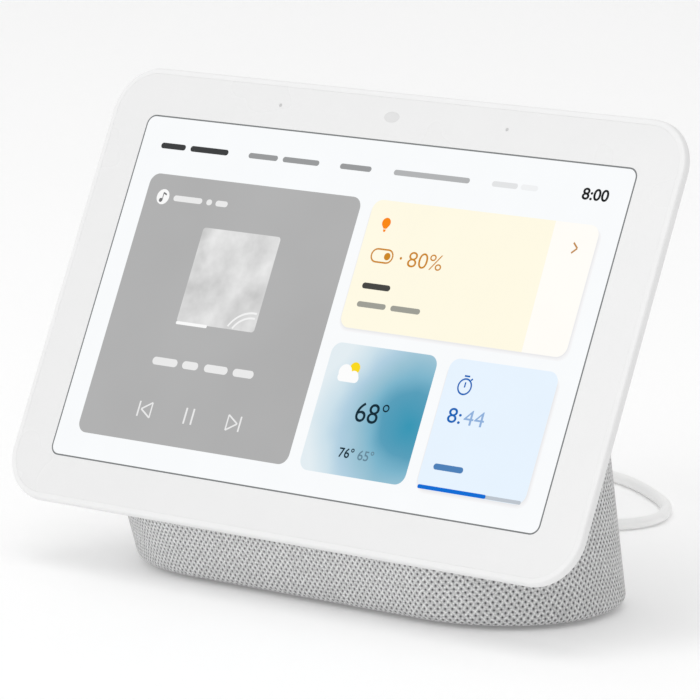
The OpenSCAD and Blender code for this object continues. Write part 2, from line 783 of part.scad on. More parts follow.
relief_start = 46;
relief_end = 62;
module dc_plug() {
    color([0.92, 0.92, 0.92]) translate([0, 0, jack_z]) rotate([-90, 0, 0]) difference() {
        rotate_extrude() polygon([[0, jack_front + 0.1], [3.8, jack_front + 0.1], [3.8, 34.3], [4.5, 34.7],
            [4.8, 35.5], [4.8, 43], [4.2, 45.2], [3.6, relief_start], [0, relief_start]]);
        translate([0, 0, jack_front - 1]) cylinder(r = 1.4, h = 4);
    }
    color([0.80, 0.80, 0.82]) translate([0, jack_front - barrel_l, jack_z]) rotate([-90, 0, 0]) difference() {
        cylinder(r = barrel_r, h = barrel_l + 1);
        translate([0, 0, -1]) cylinder(r = 1.4, h = barrel_l + 4);
    }
}

lead_r = lead_d / 2;
module plug_relief() {
    color([0.90, 0.90, 0.90]) translate([0, relief_start, jack_z]) rotate([-90, 0, 0])
        cylinder(r1 = 3.2, r2 = lead_r + 0.4, h = relief_end - relief_start);
}

coil_low = 0.8;
coil_at = [-40.5, 111.5];
run_route = [
    [0, 62, 8.6], [0.3, 67.5, 8.2], [1.6, 73, 6.9], [4, 78.4, 5], [7.2, 83.4, 3.2], [10.6, 88, 2],
    [13.6, 92.6, 1.7], [15.5, 97.8, 1.7], [15.4, 103.2, 1.7], [13.6, 108.6, 1.7], [10.6, 113.8, 1.7],
    [6.8, 118.4, 1.7], [2.2, 122.6, 1.7], [-3, 126.6, 1.7], [-8.8, 130.8, 1.7], [-15, 134.6, 1.7],
    [-21.8, 137.8, 1.7], [-29, 139.8, 1.7], [-36.4, 140.4, 1.7], [-43.8, 139.4, 1.7], [-50.6, 136.4, 1.7],
    [-55.8, 131.4, 1.7], [-58.8, 125, 1.8], [-60, 118.4, 2], [-60, 112, 2.3]
];
tail_route = [[-60, 111, 11.3], [-60, 106, 11.4], [-60, 101, 12], [-60, 95, 13]];

module cord_run() {
    color([0.90, 0.90, 0.90]) tube(run_route, lead_r);
}

// The rest of the lead, wound in layers of turns: the outer shape of the whole bundle
module cord_coil() {
    inner = coil_d / 2 - coil_columns * lead_d / 2;
    color([0.90, 0.90, 0.90]) translate([coil_at[0], coil_at[1], coil_low]) rotate_extrude()
        translate([inner, 0]) square([coil_columns * lead_d, coil_layers * lead_d]);
}

module cord_tie() {
    wide = coil_columns * lead_d;
    tall = coil_layers * lead_d;
    color([0.20, 0.20, 0.21]) translate([coil_at[0] + coil_d / 2, coil_at[1], coil_low + tall / 2]) {
        difference() {
            cube([wide + 1.4, 4, tall + 1.4], center = true);
            translate([-0.1, 0, 0]) cube([wide + 0.3, 6, tall + 0.06], center = true);
        }
        translate([wide / 2 + 1.6, 0, 2]) cube([2.4, 1.6, 1], center = true);
    }
}

module cord_tail() {
    color([0.90, 0.90, 0.90]) tube(tail_route, lead_r);
}

adapter_w = 38;
adapter_l = 40;
adapter_t = 26;
adapter_at = [-60, 58];
adapter_r = 7;
face_t = 3;
module adapter_relief() {
    color([0.90, 0.90, 0.90]) translate([adapter_at[0], adapter_at[1] + adapter_l / 2, adapter_t / 2])
        rotate([-90, 0, 0]) cylinder(r1 = 3.4, r2 = lead_r + 0.4, h = 95 - adapter_at[1] - adapter_l / 2);
}

// The plug-in supply lies on its outer face, with its blades up
module adapter_case() {
    color([0.92, 0.92, 0.92]) translate([adapter_at[0], adapter_at[1], 0]) difference() {
        slab(adapter_w, adapter_l, adapter_r, 0, adapter_t - face_t);
        slab(adapter_w - 4, adapter_l - 4, adapter_r - 2, 2, adapter_t);
    }
}

module adapter_cover() {
    color([0.92, 0.92, 0.92]) translate([adapter_at[0], adapter_at[1], 0]) difference() {
        union() {
            slab(adapter_w, adapter_l, adapter_r, adapter_t - face_t, adapter_t);
            slab(adapter_w - 4.4, adapter_l - 4.4, adapter_r - 2.2,
                adapter_t - face_t - 1.5, adapter_t - face_t + eps);
        }
        for (x = [-1, 1]) translate([x * blade_gap / 2, blade_v, adapter_t])
            cube([1.6, 6.5, 20], center = true);
    }
}

blade_gap = 12.7;
blade_v = -6;
module adapter_blades() {
    color([0.80, 0.80, 0.82]) translate([adapter_at[0], adapter_at[1] + blade_v, 0]) for (x = [-1, 1])
        translate([x * blade_gap / 2, 0, 0]) difference() {
            box([-0.75, -3.2, adapter_t - face_t - 4], [0.75, 3.2, adapter_t + 17]);
            translate([-2, 0, adapter_t + 14]) rotate([0, 90, 0]) cylinder(r = 1.5, h = 4);
        }
}

module adapter_board() {
    color([0.75, 0.66, 0.40]) translate([adapter_at[0], adapter_at[1], 0]) {
        slab(adapter_w - 6, adapter_l - 6, 3, 3, 4.4);
        translate([4, 6, 0]) box([-9, -8, 4.4 - eps], [9, 8, 16]);
        for (x = [-10, -2]) translate([x, -10, 4.4 - eps]) cylinder(r = 3.4, h = 12);
    }
}

cover_glass();
glass_adhesive();
touch_sensor();
lcd_panel();
backlight();
mid_frame();
mid_frame_screws();
main_board();
processor_shield();
radio_shield();
thermal_pad();
heat_spreader();
radar_board();
light_sensor_board();
microphone_left();
microphone_right();
microphone_gaskets();
rear_microphone();
antennas();
display_ribbon();
rear_housing();
mute_slider();
mute_switch();
volume_rocker();
rocker_pin();
volume_bracket();
volume_switches();
anchor_plate();
neck_screws();
base_housing();
fabric_sleeve();
speaker_frame();
speaker_magnet();
speaker_yoke();
speaker_cone();
voice_coil();
speaker_surround();
speaker_spider();
speaker_gasket();
speaker_screws();
speaker_wires();
harness();
ballast();
power_board();
dc_jack();
base_plate();
base_screws();
rubber_foot();
dc_plug();
plug_relief();
cord_run();
cord_coil();
cord_tie();
cord_tail();
adapter_relief();
adapter_case();
adapter_cover();
adapter_board();
adapter_blades();
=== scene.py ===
"""A table-top smart display: a leaning touch screen on a knit-covered speaker base, with its supply lead."""

import json
import math

import bpy
import numpy as np
from mathutils import Matrix, Vector


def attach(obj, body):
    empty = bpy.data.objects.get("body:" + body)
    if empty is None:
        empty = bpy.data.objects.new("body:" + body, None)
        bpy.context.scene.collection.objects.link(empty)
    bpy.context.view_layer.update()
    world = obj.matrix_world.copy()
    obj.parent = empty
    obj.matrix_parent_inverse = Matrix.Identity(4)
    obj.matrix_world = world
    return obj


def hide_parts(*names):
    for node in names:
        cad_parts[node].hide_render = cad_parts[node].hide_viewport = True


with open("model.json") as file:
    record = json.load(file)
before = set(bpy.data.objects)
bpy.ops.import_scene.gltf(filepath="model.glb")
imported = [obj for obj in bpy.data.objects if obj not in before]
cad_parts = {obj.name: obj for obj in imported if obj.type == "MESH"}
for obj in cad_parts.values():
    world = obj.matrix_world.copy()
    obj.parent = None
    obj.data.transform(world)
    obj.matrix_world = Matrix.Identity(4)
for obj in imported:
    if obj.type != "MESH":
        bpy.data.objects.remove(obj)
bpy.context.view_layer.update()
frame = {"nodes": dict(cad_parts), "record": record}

# --- Camera ---
# A long lens a little above the table, turned 39 degrees to the right of the screen's middle line.
# It stands far enough off to take in the whole display and the loop of its lead.
camera = bpy.data.objects.new("camera", bpy.data.cameras.new("camera"))
camera.data.sensor_width = 36
camera.data.lens = 259.5
camera.location = (0.75852, -0.94163, 0.27910)
camera.rotation_euler = (math.radians(90 - 10.325), 0, math.radians(38.99))
bpy.context.scene.collection.objects.link(camera)
bpy.context.scene.camera = camera

# --- Supply lead ---
# A round two-core lead in a soft white jacket, 3 mm thick and 1.5 m long. It leaves the plug's relief, drops
# to the table and sweeps round to the left, and the spare length is wound into a coil of four layers of three
# turns. Then it climbs to the supply's relief.
MM = 0.001
lead_d = 3.0
lead_run = [
    (0, 48, 8.6), (0, 55, 8.6), (0, 62, 8.6), (0.3, 67.5, 8.2), (1.6, 73, 6.9), (4, 78.4, 5),
    (7.2, 83.4, 3.2), (10.6, 88, 2), (13.6, 92.6, 1.7), (15.5, 97.8, 1.7), (15.4, 103.2, 1.7),
    (13.6, 108.6, 1.7), (10.6, 113.8, 1.7), (6.8, 118.4, 1.7), (2.2, 122.6, 1.7), (-3, 126.6, 1.7),
    (-8.8, 130.8, 1.7), (-15, 134.6, 1.7), (-21.8, 137.8, 1.7), (-29, 139.8, 1.7), (-36.4, 140.4, 1.7),
    (-43.8, 139.4, 1.7), (-50.6, 136.4, 1.7), (-55.8, 131.4, 1.7), (-58.8, 125, 1.8), (-60, 118.4, 2),
]
lead_tail = [
    (-60, 108, 11.35), (-60, 104.5, 11.6), (-60, 101, 12), (-60, 95, 13), (-60, 88, 13), (-60, 82, 13),
]
coil_middle = (-40.5, 111.5)
coil_radii, coil_layers = (19.5, 16.5, 13.5), 4
coil_floor, coil_in, coil_out = 2.3, (-60, 114.9, 2.2), (-60, 111.5, 11.3)


def wound_turns():
    """Points along the coil, layer on layer, from the outside in and then from the inside out."""
    points, per_turn = [], 36
    step_from, step_for = 0.72, 0.28
    for layer in range(coil_layers):
        radii = coil_radii if layer % 2 == 0 else coil_radii[::-1]
        for column, radius in enumerate(radii):
            last = column == len(radii) - 1
            onward = radius if last else radii[column + 1]
            lift = lead_d if last and layer < coil_layers - 1 else 0
            for k in range(per_turn):
                share = k / per_turn
                shift = max(0.0, (share - step_from) / step_for)
                shift = shift * shift * (3 - 2 * shift)
                r = radius + (onward - radius) * shift
                angle = math.pi + 2 * math.pi * share
                points.append((
                    coil_middle[0] + r * math.cos(angle),
                    coil_middle[1] + r * math.sin(angle),
                    coil_floor + lead_d * layer + lift * shift,
                ))
    return points


def flowing(points, steps):
    """A smooth line through every point, with more points between them."""
    p = np.array(points, float)
    p = np.vstack([2 * p[0] - p[1], p, 2 * p[-1] - p[-2]])
    line = []
    for i in range(1, len(p) - 2):
        for k in range(steps):
            t = k / steps
            line.append(0.5 * (
                2 * p[i] + (p[i + 1] - p[i - 1]) * t
                + (2 * p[i - 1] - 5 * p[i] + 4 * p[i + 1] - p[i + 2]) * t ** 2
                + (3 * p[i] - p[i - 1] - 3 * p[i + 1] + p[i + 2]) * t ** 3
            ))
    return line + [p[-2]]


def linear(tone):
    """A colour as the eye names it, from 0 to 1, as the shader wants it."""
    return [c / 12.92 if c <= 0.04045 else ((c + 0.055) / 1.055) ** 2.4 for c in tone] + [1.0]


def moulded(name, tone, roughness, grain=0.5, relief=0.02, mottle=0.012, metallic=0.0, coat=0.0, spots=9.0,
            drawn=(1, 1, 1)):
    """A finish with a fine grain and faint clouds in its colour. grain and spots are sizes in mm, and drawn
    squeezes both along the way that a metal was drawn or rolled."""
    material = bpy.data.materials.new(name)
    material.use_nodes = True
    nodes, links = material.node_tree.nodes, material.node_tree.links
    shader = nodes["Principled BSDF"]
    shader.inputs["Metallic"].default_value = metallic
    shader.inputs["Coat Weight"].default_value = coat
    shader.inputs["Coat Roughness"].default_value = 0.12
    place = nodes.new("ShaderNodeTexCoord")
    stretch = nodes.new("ShaderNodeMapping")
    stretch.inputs["Scale"].default_value = drawn
    links.new(place.outputs["Object"], stretch.inputs["Vector"])

    clouds = nodes.new("ShaderNodeTexNoise")
    clouds.inputs["Scale"].default_value = 1000 / spots
    clouds.inputs["Detail"].default_value = 4
    links.new(stretch.outputs["Vector"], clouds.inputs["Vector"])
    tints = nodes.new("ShaderNodeValToRGB")
    tints.color_ramp.elements[0].position = 0.3
    tints.color_ramp.elements[1].position = 0.7
    for stop, side in zip(tints.color_ramp.elements, (-1, 1)):
        stop.color = linear([min(1.0, c * (1 + side * mottle)) for c in tone])
    links.new(clouds.outputs["Fac"], tints.inputs["Fac"])
    links.new(tints.outputs["Color"], shader.inputs["Base Color"])

    fine = nodes.new("ShaderNodeTexNoise")
    fine.inputs["Scale"].default_value = 1000 / grain
    fine.inputs["Detail"].default_value = 2
    links.new(stretch.outputs["Vector"], fine.inputs["Vector"])
    polish = nodes.new("ShaderNodeMapRange")
    polish.inputs["From Min"].default_value, polish.inputs["From Max"].default_value = 0.3, 0.7
    polish.inputs["To Min"].default_value = max(0.02, roughness * 0.88)
    polish.inputs["To Max"].default_value = min(1.0, roughness * 1.12)
    links.new(fine.outputs["Fac"], polish.inputs["Value"])
    links.new(polish.outputs["Result"], shader.inputs["Roughness"])
    bumps = nodes.new("ShaderNodeBump")
    bumps.inputs["Strength"].default_value = 0.35
    bumps.inputs["Distance"].default_value = relief * MM
    links.new(fine.outputs["Fac"], bumps.inputs["Height"])
    links.new(bumps.outputs["Normal"], shader.inputs["Normal"])
    return material


jacket = moulded("cord_jacket", (0.98, 0.98, 0.977), 0.42, grain=0.3, relief=0.015, mottle=0.01)
line = flowing(lead_run + [coil_in] + wound_turns() + [coil_out] + lead_tail, 3)
lead_curve = bpy.data.curves.new("supply_lead", "CURVE")
lead_curve.dimensions = "3D"
lead_curve.bevel_depth = lead_d / 2 * MM
lead_curve.bevel_resolution = 4
lead_curve.use_fill_caps = True
strand = lead_curve.splines.new("POLY")
strand.points.add(len(line) - 1)
for point, at in zip(strand.points, line):
    point.co = (*(Vector(at) * MM), 1)
lead_curve.materials.append(jacket)
supply_lead = bpy.data.objects.new("supply_lead", lead_curve)
bpy.context.scene.collection.objects.link(supply_lead)
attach(supply_lead, "device")
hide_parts("cord_run", "cord_coil", "cord_tail")

# --- Plug and its relief ---
# A straight barrel plug, over-moulded in hard white plastic with a ribbed grip, and a soft ribbed relief
# that tapers down to the lead. Both are round and stand straight out of the back of the base.
sharp_edge = math.radians(30)


def piece(name, points, faces, material, body="device", nodes=(), slot=None, place=None):
    """A mesh piece: its points in mm, its finish, the body it moves with, and the nodes it stands for."""
    mesh = bpy.data.meshes.new(name)
    mesh.from_pydata([tuple(Vector(p) * MM) for p in points], [], faces)
    if place is not None:
        mesh.transform(place)
    mesh.validate()
    mesh.polygons.foreach_set("use_smooth", [True] * len(mesh.polygons))
    mesh.set_sharp_from_angle(angle=sharp_edge)
    mesh.materials.append(material)
    made = bpy.data.objects.new(name, mesh)
    bpy.context.scene.collection.objects.link(made)
    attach(made, body)
    if nodes:
        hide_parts(*nodes)
    return made


def stacked(rings, close=(True, True)):
    """Faces that skin a stack of rings of equal count, with the first and last ring closed or left open."""
    n = len(rings[0])
    points = [p for ring in rings for p in ring]
    faces = [
        (k * n + i, k * n + (i + 1) % n, (k + 1) * n + (i + 1) % n, (k + 1) * n + i)
        for k in range(len(rings) - 1) for i in range(n)
    ]
    if close[0]:
        faces.append(tuple(range(n - 1, -1, -1)))
    if close[1]:
        faces.append(tuple((len(rings) - 1) * n + i for i in range(n)))
    return points, faces


def turned(profile, axis):
    """Rings of a round piece that lies along +Y, on an axis at (x, z). profile is a list of (y, radius)."""
    sides = 48
    turns = [2 * math.pi * k / sides for k in range(sides)]
    return [[(axis[0] + r * math.sin(t), y, axis[1] + r * math.cos(t)) for t in turns] for y, r in profile]


def ribs(start, end, r_start, r_end, count, groove):
    """The profile of a tapering relief with rounded ribs."""
    profile = []
    for k in range(count * 8 + 1):
        share = k / (count * 8)
        radius = r_start + (r_end - r_start) * share
        dip = groove * (0.5 - 0.5 * math.cos(2 * math.pi * share * count)) ** 2
        profile.append((start + (end - start) * share, radius - dip))
    return profile


white_gloss = moulded("white_moulding", (0.94, 0.94, 0.94), 0.34, grain=0.4, relief=0.01, mottle=0.006)
plug_axis = (0, 8.6)
plug_body = [(29.9, 3.6), (30.1, 3.8), (34.3, 3.8), (34.7, 4.4), (35.0, 4.65), (35.6, 4.8), (36.4, 4.8)]
for k in range(4):
    start = 36.6 + 1.5 * k
    plug_body += [(start, 4.8), (start + 0.25, 4.45), (start + 0.75, 4.45), (start + 1.0, 4.8)]
plug_body += [(43.0, 4.8), (44.0, 4.7), (44.8, 4.4), (45.4, 4.0), (45.9, 3.7), (46.0, 3.3)]
plug = piece("barrel_plug", *stacked(turned(plug_body, plug_axis)), white_gloss, nodes=["dc_plug"],
             slot="white_plastic")
sleeve_metal = moulded("plated_contact", (0.80, 0.80, 0.81), 0.24, grain=0.3, relief=0.004, mottle=0.03,
                       metallic=1.0)
barrel = [(20.7, 1.4), (20.7, 2.6), (20.85, 2.75), (29.9, 2.75), (29.9, 1.4)]
contact = piece("plug_barrel", *stacked(turned(barrel + barrel[:1], plug_axis), (False, False)), sleeve_metal,
                slot="plated_steel")
contact.parent = plug
piece("plug_relief_ribs", *stacked(turned(ribs(46, 62, 3.2, 1.9, 7, 0.45), plug_axis)), jacket,
      nodes=["plug_relief"], slot="cord_jacket")

# --- Plug-in supply ---
# A small white block moulded in two shells, glued at a fine seam, with two folded-brass blades in its cover.
# It lies on its outer face behind the base, with the blades up, and the lead runs into a relief in its end.


def rounded_ring(half_w, half_h, r, level, steps=14):
    """A rounded rectangle in mm, as a ring of points at one level."""
    ring = []
    for quarter in range(4):
        sx = 1 if quarter in (0, 3) else -1
        sy = 1 if quarter < 2 else -1
        for k in range(steps + 1):
            a = math.pi / 2 * (quarter + k / steps)
            ring.append((sx * (half_w - r) + r * math.cos(a), sy * (half_h - r) + r * math.sin(a), level))
    return ring


def block(half_w, half_h, corner, low, high, soft_low, soft_high):
    """A rounded block, with its lower and upper edges rounded by the two soft radii."""
    rings, turns = [], [math.pi / 2 * k / 8 for k in range(9)]
    for level, soft, way, angles in ((low, soft_low, 1, turns), (high, soft_high, -1, turns[::-1])):
        for a in angles:
            shrink = soft * (1 - math.sin(a))
            rings.append(rounded_ring(half_w - shrink, half_h - shrink, corner - shrink,
                                      level + way * soft * (1 - math.cos(a))))
    return stacked(rings)


supply_place = Matrix.Translation((-60 * MM, 58 * MM, 0))
supply_outline, supply_seam, supply_top = (19, 20, 7), 23, 26
piece("supply_case", *block(*supply_outline, 0, supply_seam, 3.5, 0.25), white_gloss, nodes=["adapter_case"],
      slot="white_plastic", place=supply_place)
piece("supply_cover", *block(*supply_outline, supply_seam, supply_top, 0.25, 1.6), white_gloss,
      nodes=["adapter_cover"], slot="white_plastic", place=supply_place)
piece("supply_relief_ribs", *stacked(turned(ribs(78, 95, 3.4, 1.9, 7, 0.45), (-60, supply_top / 2))), jacket,
      nodes=["adapter_relief"], slot="cord_jacket")


def worked(made, crease):
    """Takes the result of a piece's modifiers as its mesh, smooth but for edges sharper than the crease."""
    made.data = bpy.data.meshes.new_from_object(made.evaluated_get(bpy.context.evaluated_depsgraph_get()))
    made.modifiers.clear()
    made.data.polygons.foreach_set("use_smooth", [True] * len(made.data.polygons))
    made.data.set_sharp_from_angle(angle=crease)


blade_corner = math.radians(32)
blades = bpy.data.objects.new("adapter_blades_finished", frame["nodes"]["adapter_blades"].data.copy())
bpy.context.scene.collection.objects.link(blades)
blades.modifiers.new("weld", "WELD").merge_threshold = 1e-6
flat = blades.modifiers.new("flat", "DECIMATE")
flat.decimate_type, flat.angle_limit = "DISSOLVE", math.radians(1)
tumbled = blades.modifiers.new("tumbled", "BEVEL")
tumbled.width, tumbled.segments, tumbled.limit_method = 0.25 * MM, 3, "ANGLE"
tumbled.angle_limit = blade_corner
worked(blades, blade_corner)
blades.data.materials.clear()
blades.data.materials.append(sleeve_metal)
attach(blades, "device")
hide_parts("adapter_blades")

# --- Tie of the coil ---
# A soft hook-and-loop band, closed round the coil's windings on the side nearest the plug, with its loose end
# pressed flat on the outside. With it on, the lead and everything on it are complete.
hook_tape = moulded("tie_band", (0.20, 0.20, 0.21), 0.9, grain=0.25, relief=0.12, mottle=0.12)
tie_place = Matrix.Translation((-24 * MM, 111.5 * MM, 6.8 * MM)) @ Matrix.Rotation(math.radians(90), 4, "X")
tie_half_w, tie_half_h, tie_gauge, tie_edge = 5.2, 6.7, 0.65, 2.0
tie_rings = [
    rounded_ring(tie_half_w - inset, tie_half_h - inset, corner, level)
    for inset, corner, level in (
        (0.15, 1.85, -tie_edge), (0, 2.0, 0.2 - tie_edge), (0, 2.0, tie_edge - 0.2), (0.15, 1.85, tie_edge),
        (tie_gauge, 1.4, tie_edge), (tie_gauge, 1.4, -tie_edge))
]
piece("cord_tie_band", *stacked(tie_rings + tie_rings[:1], (False, False)), hook_tape, nodes=["cord_tie"],
      slot="dark_plastic", place=tie_place)
piece("cord_tie_end", *block(1.3, 0.35, 0.3, -1.6, 1.6, 0.1, 0.1), hook_tape, slot="dark_plastic",
      place=tie_place @ Matrix.Translation((6.0 * MM, 2.0 * MM, 0)))

# --- Rear housing of the display head ---
# One moulding in satin white plastic: a thin rounded lip stands round the glass, and the back swells in one
# arc to a flat. It is hollow. A ledge carries the glass, and slots take the volume rocker and the microphone
# switch.
head_w, head_h, head_t, head_r = 177.4, 114.4, 13.0, 12.5
head_y, head_z, head_lean = -10.2, 69.1, math.radians(25.5)
lip_w, lip_d, lip_p = 0.8, 1.8, 0.77
arc_start, arc_spread = math.radians(42), 0.3
back_arc = (head_t - lip_d) / (1 - math.sin(arc_start))
wall, ledge_inset, ledge_depth, cavity_r = 1.8, 4.3, 1.4, 9.0
glass_w, glass_h, glass_r, glass_t = 174.0, 111.0, 10.8, 1.1
head_place = (Matrix.Translation((0, head_y * MM, head_z * MM))
              @ Matrix.Rotation(math.radians(90) - head_lean, 4, "X"))


def back_inset(a):
    """How far the back has drawn in from the head's outline, at an angle on its arc."""
    return back_arc * (math.cos(arc_start) - math.cos(a))


def back_depth(a):
    """How far behind the glass's front the back lies, at an angle on its arc."""
    return lip_d + back_arc * (math.sin(a) - math.sin(arc_start))


def head_ring(inset, depth, r):
    """A ring of the head's outline, drawn in by an inset, at a depth behind the glass's front."""
    return rounded_ring(head_w / 2 - inset, head_h / 2 - inset, r, -depth, steps=24)


def cut(made, cutters):
    """Takes the cutters away from a piece, for its slots and holes."""
    for bar in cutters:
        bite = made.modifiers.new("bite", "BOOLEAN")
        bite.operation, bite.solver, bite.object = "DIFFERENCE", "EXACT", bar
    worked(made, sharp_edge)
    for bar in cutters:
        bpy.data.objects.remove(bar)


def cutter(half_w, half_h, r, low, high, place):
    """A loose rounded bar in mm, for cut() to take away."""
    points, faces = stacked([rounded_ring(half_w, half_h, r, z) for z in (low, high)])
    mesh = bpy.data.meshes.new("cutter")
    mesh.from_pydata([tuple(Vector(p) * MM) for p in points], [], faces)
    mesh.transform(place)
    made = bpy.data.objects.new("cutter", mesh)
    bpy.context.scene.collection.objects.link(made)
    return made


satin_white = moulded("satin_white_plastic", (0.932, 0.932, 0.932), 0.46, grain=0.35, relief=0.012,
                      mottle=0.004)
arc_steps, lip_steps = 40, 24
outer = []
for k in range(arc_steps + 1):
    a = math.pi / 2 - (math.pi / 2 - arc_start) * k / arc_steps
    outer.append(head_ring(back_inset(a), back_depth(a), head_r + arc_spread * back_inset(a)))
for k in range(1, lip_steps + 1):
    a = math.pi / 2 * (1 - k / lip_steps)
    inset = lip_w * (1 - math.sin(a) ** lip_p)
    outer.append(head_ring(inset, lip_d * (1 - math.cos(a) ** lip_p), head_r - inset))
glass_gap, glass_edge = 0.01, 0.05
recess = [rounded_ring(glass_w / 2 + glass_gap, glass_h / 2 + glass_gap, glass_r + glass_gap, level, steps=24)
          for level in (0, -ledge_depth)]
ledge_under = 3.6
inner = [head_ring(ledge_inset, depth, cavity_r) for depth in (ledge_depth, ledge_under)]
for k in range(9):
    a = math.radians(54 + 4.5 * k)
    inner.append(head_ring(back_inset(a) + wall * math.cos(a), back_depth(a) - wall * math.sin(a), cavity_r))
housing = piece("rear_shell", *stacked(outer + recess + inner), satin_white, nodes=["rear_housing"],
                slot="white_plastic", place=head_place)


def on_head(x, up, depth=0):
    """A place on the display head: across and up from its middle, and behind the glass's front, in mm."""
    return head_place @ Matrix.Translation((x * MM, up * MM, -depth * MM))


control_angle, control_tilt, rocker_up = math.radians(69), math.radians(159), 14
control_inset, control_depth = back_inset(control_angle), back_depth(control_angle)
rocker_place = on_head(head_w / 2 - control_inset, rocker_up, control_depth)
rocker_place = rocker_place @ Matrix.Rotation(control_tilt, 4, "Y")
slider_place = on_head(0, head_h / 2 - control_inset, control_depth) @ Matrix.Rotation(-control_tilt, 4, "X")
rear_microphone_place = on_head(-30, 43)
cut(housing, [
    cutter(2.7, 12.4, 2.69, -5, 3, rocker_place),
    cutter(5.2, 2.4, 2.3, -0.8, 3, slider_place),
    cutter(2.6, 0.95, 0.9, -5, 3, slider_place),
    cutter(0.6, 0.6, 0.599, -16, -6, rear_microphone_place),
])

# --- Volume rocker and microphone switch ---
# Two small white mouldings in the curved back. The rocker is one long key on a cross pin; the switch is a
# slider with raised grip lines in a shallow recess.


def key(half_w, half_l, low, high, soft):
    """A rounded key with a softened upper edge."""
    corner = min(half_w, half_l) - 0.02
    rings = [rounded_ring(half_w, half_l, corner, low)]
    for k in range(9):
        a = math.pi / 2 * k / 8
        shrink = soft * (1 - math.cos(a))
        rings.append(rounded_ring(half_w - shrink, half_l - shrink, corner - shrink,
                                  high - soft + soft * math.sin(a)))
    return stacked(rings)


rocker_under, rocker_foot_off = -1.2, 9
piece("rocker_key", *key(2.3, 12, rocker_under, 0.7, 0.8), satin_white, body="volume_rocker",
      nodes=["volume_rocker"], slot="white_plastic", place=rocker_place)
piece("rocker_stem", *block(1.9, 1.4, 0.4, -3.35, rocker_under, 0.1, 0.1), satin_white, body="volume_rocker",
      slot="white_plastic", place=rocker_place)
for side in (-1, 1):
    piece("rocker_foot" + "_ab"[side > 0], *block(0.8, 0.8, 0.2, -2.6, rocker_under, 0.1, 0.1), satin_white,
          body="volume_rocker", slot="white_plastic",
          place=rocker_place @ Matrix.Translation((0, side * rocker_foot_off * MM, 0)))

slider_throw, slider_under, grip_pitch = 2.4, -0.7, 0.8
slider_home = slider_place @ Matrix.Translation((-slider_throw / 2 * MM, 0, 0))
piece("switch_slider", *key(3.2, 1.8, slider_under, 0.45, 0.25), satin_white, body="mute_slider",
      nodes=["mute_slider"], slot="white_plastic", place=slider_home)
piece("slider_stem", *block(1.2, 0.6, 0.2, -2.9, slider_under, 0.05, 0.05), satin_white, body="mute_slider",
      slot="white_plastic", place=slider_home)
for k in range(5):
    piece(f"slider_grip_{k + 1}", *block(0.18, 1.2, 0.17, 0.3, 0.8, 0.02, 0.15), satin_white,
          body="mute_slider", slot="white_plastic",
          place=slider_home @ Matrix.Translation(((k - 2) * grip_pitch * MM, 0, 0)))

# --- Cover glass ---
# One sheet of glass from edge to edge, 1.1 mm thick, with a ground and rounded front edge. It is printed
# white on its back, so that it looks like a white border. Two pin holes let sound in to the microphones, with
# a dust mesh in each.
printed = moulded("white_printed_glass", (0.922, 0.922, 0.922), 0.30, grain=24, relief=0.0004, mottle=0.002,
                  coat=0.1)
edge = []
for k in range(9):
    a = math.pi / 2 * k / 8
    shrink = glass_edge * (1 - math.cos(a))
    edge.append(rounded_ring(glass_w / 2 - shrink, glass_h / 2 - shrink, glass_r - shrink,
                             glass_edge * (math.sin(a) - 1), steps=24))
glass_rings = [rounded_ring(glass_w / 2, glass_h / 2, glass_r, -glass_t, steps=24)] + edge
glass = piece("printed_glass", *stacked(glass_rings), printed, nodes=["cover_glass"], slot="printed_glass",
              place=head_place)
border_up, microphone_off = 50.6, 35.2
microphone_places = [on_head(x, border_up) for x in (-microphone_off, microphone_off)]
cut(glass, [cutter(0.45, 0.45, 0.449, -2, 1, place) for place in microphone_places])
dust_mesh = moulded("microphone_mesh", (0.82, 0.82, 0.82), 0.8, grain=0.12, relief=0.05, mottle=0.1)
for place, side in zip(microphone_places, ("left", "right")):
    piece("microphone_mesh_" + side, *stacked([rounded_ring(0.44, 0.44, 0.439, z) for z in (-0.12, -0.06)]),
          dust_mesh, slot="dark_plastic", place=place)

# --- Picture on the screen ---
# What the panel shows through the glass: cards on a near-white ground, inside the dark line printed round the
# panel. Words are plain bars, and only numbers are written. Each tone is a lit area as thin as ink.
picture_place = on_head(0, -0.4)
ink, thin_line = 0.012, 0.42
patches = {}
lit_finishes = {}


def lit(name, tone, shift=None, size=10.0):
    """A finish for part of the picture, lit from behind and faintly uneven. shift is a second tone."""
    material = bpy.data.materials.new(name)
    material.use_nodes = True
    nodes, links = material.node_tree.nodes, material.node_tree.links
    shader = nodes["Principled BSDF"]
    shader.inputs["Base Color"].default_value = (0.001, 0.001, 0.001, 1)
    shader.inputs["Roughness"].default_value = 0.3
    shader.inputs["Specular IOR Level"].default_value = 0.03
    shader.inputs["Emission Strength"].default_value = 1
    place = nodes.new("ShaderNodeTexCoord")
    clouds = nodes.new("ShaderNodeTexNoise")
    clouds.inputs["Scale"].default_value = 1000 / size
    clouds.inputs["Detail"].default_value = 3
    links.new(place.outputs["Object"], clouds.inputs["Vector"])
    tones = nodes.new("ShaderNodeValToRGB")
    tones.color_ramp.elements[0].position = 0.25
    tones.color_ramp.elements[1].position = 0.75
    tones.color_ramp.elements[0].color = linear(tone)
    tones.color_ramp.elements[1].color = linear(shift or [min(1.0, c * 1.006) for c in tone])
    links.new(clouds.outputs["Fac"], tones.inputs["Fac"])
    links.new(tones.outputs["Color"], shader.inputs["Emission Color"])
    lit_finishes[name] = material
    return material


def patch(finish, outline, layer):
    """Adds one filled outline, in mm from the picture's middle, to the patches of a finish."""
    patches.setdefault(finish, []).append(([(x, v, layer * ink) for x, v in outline], None))


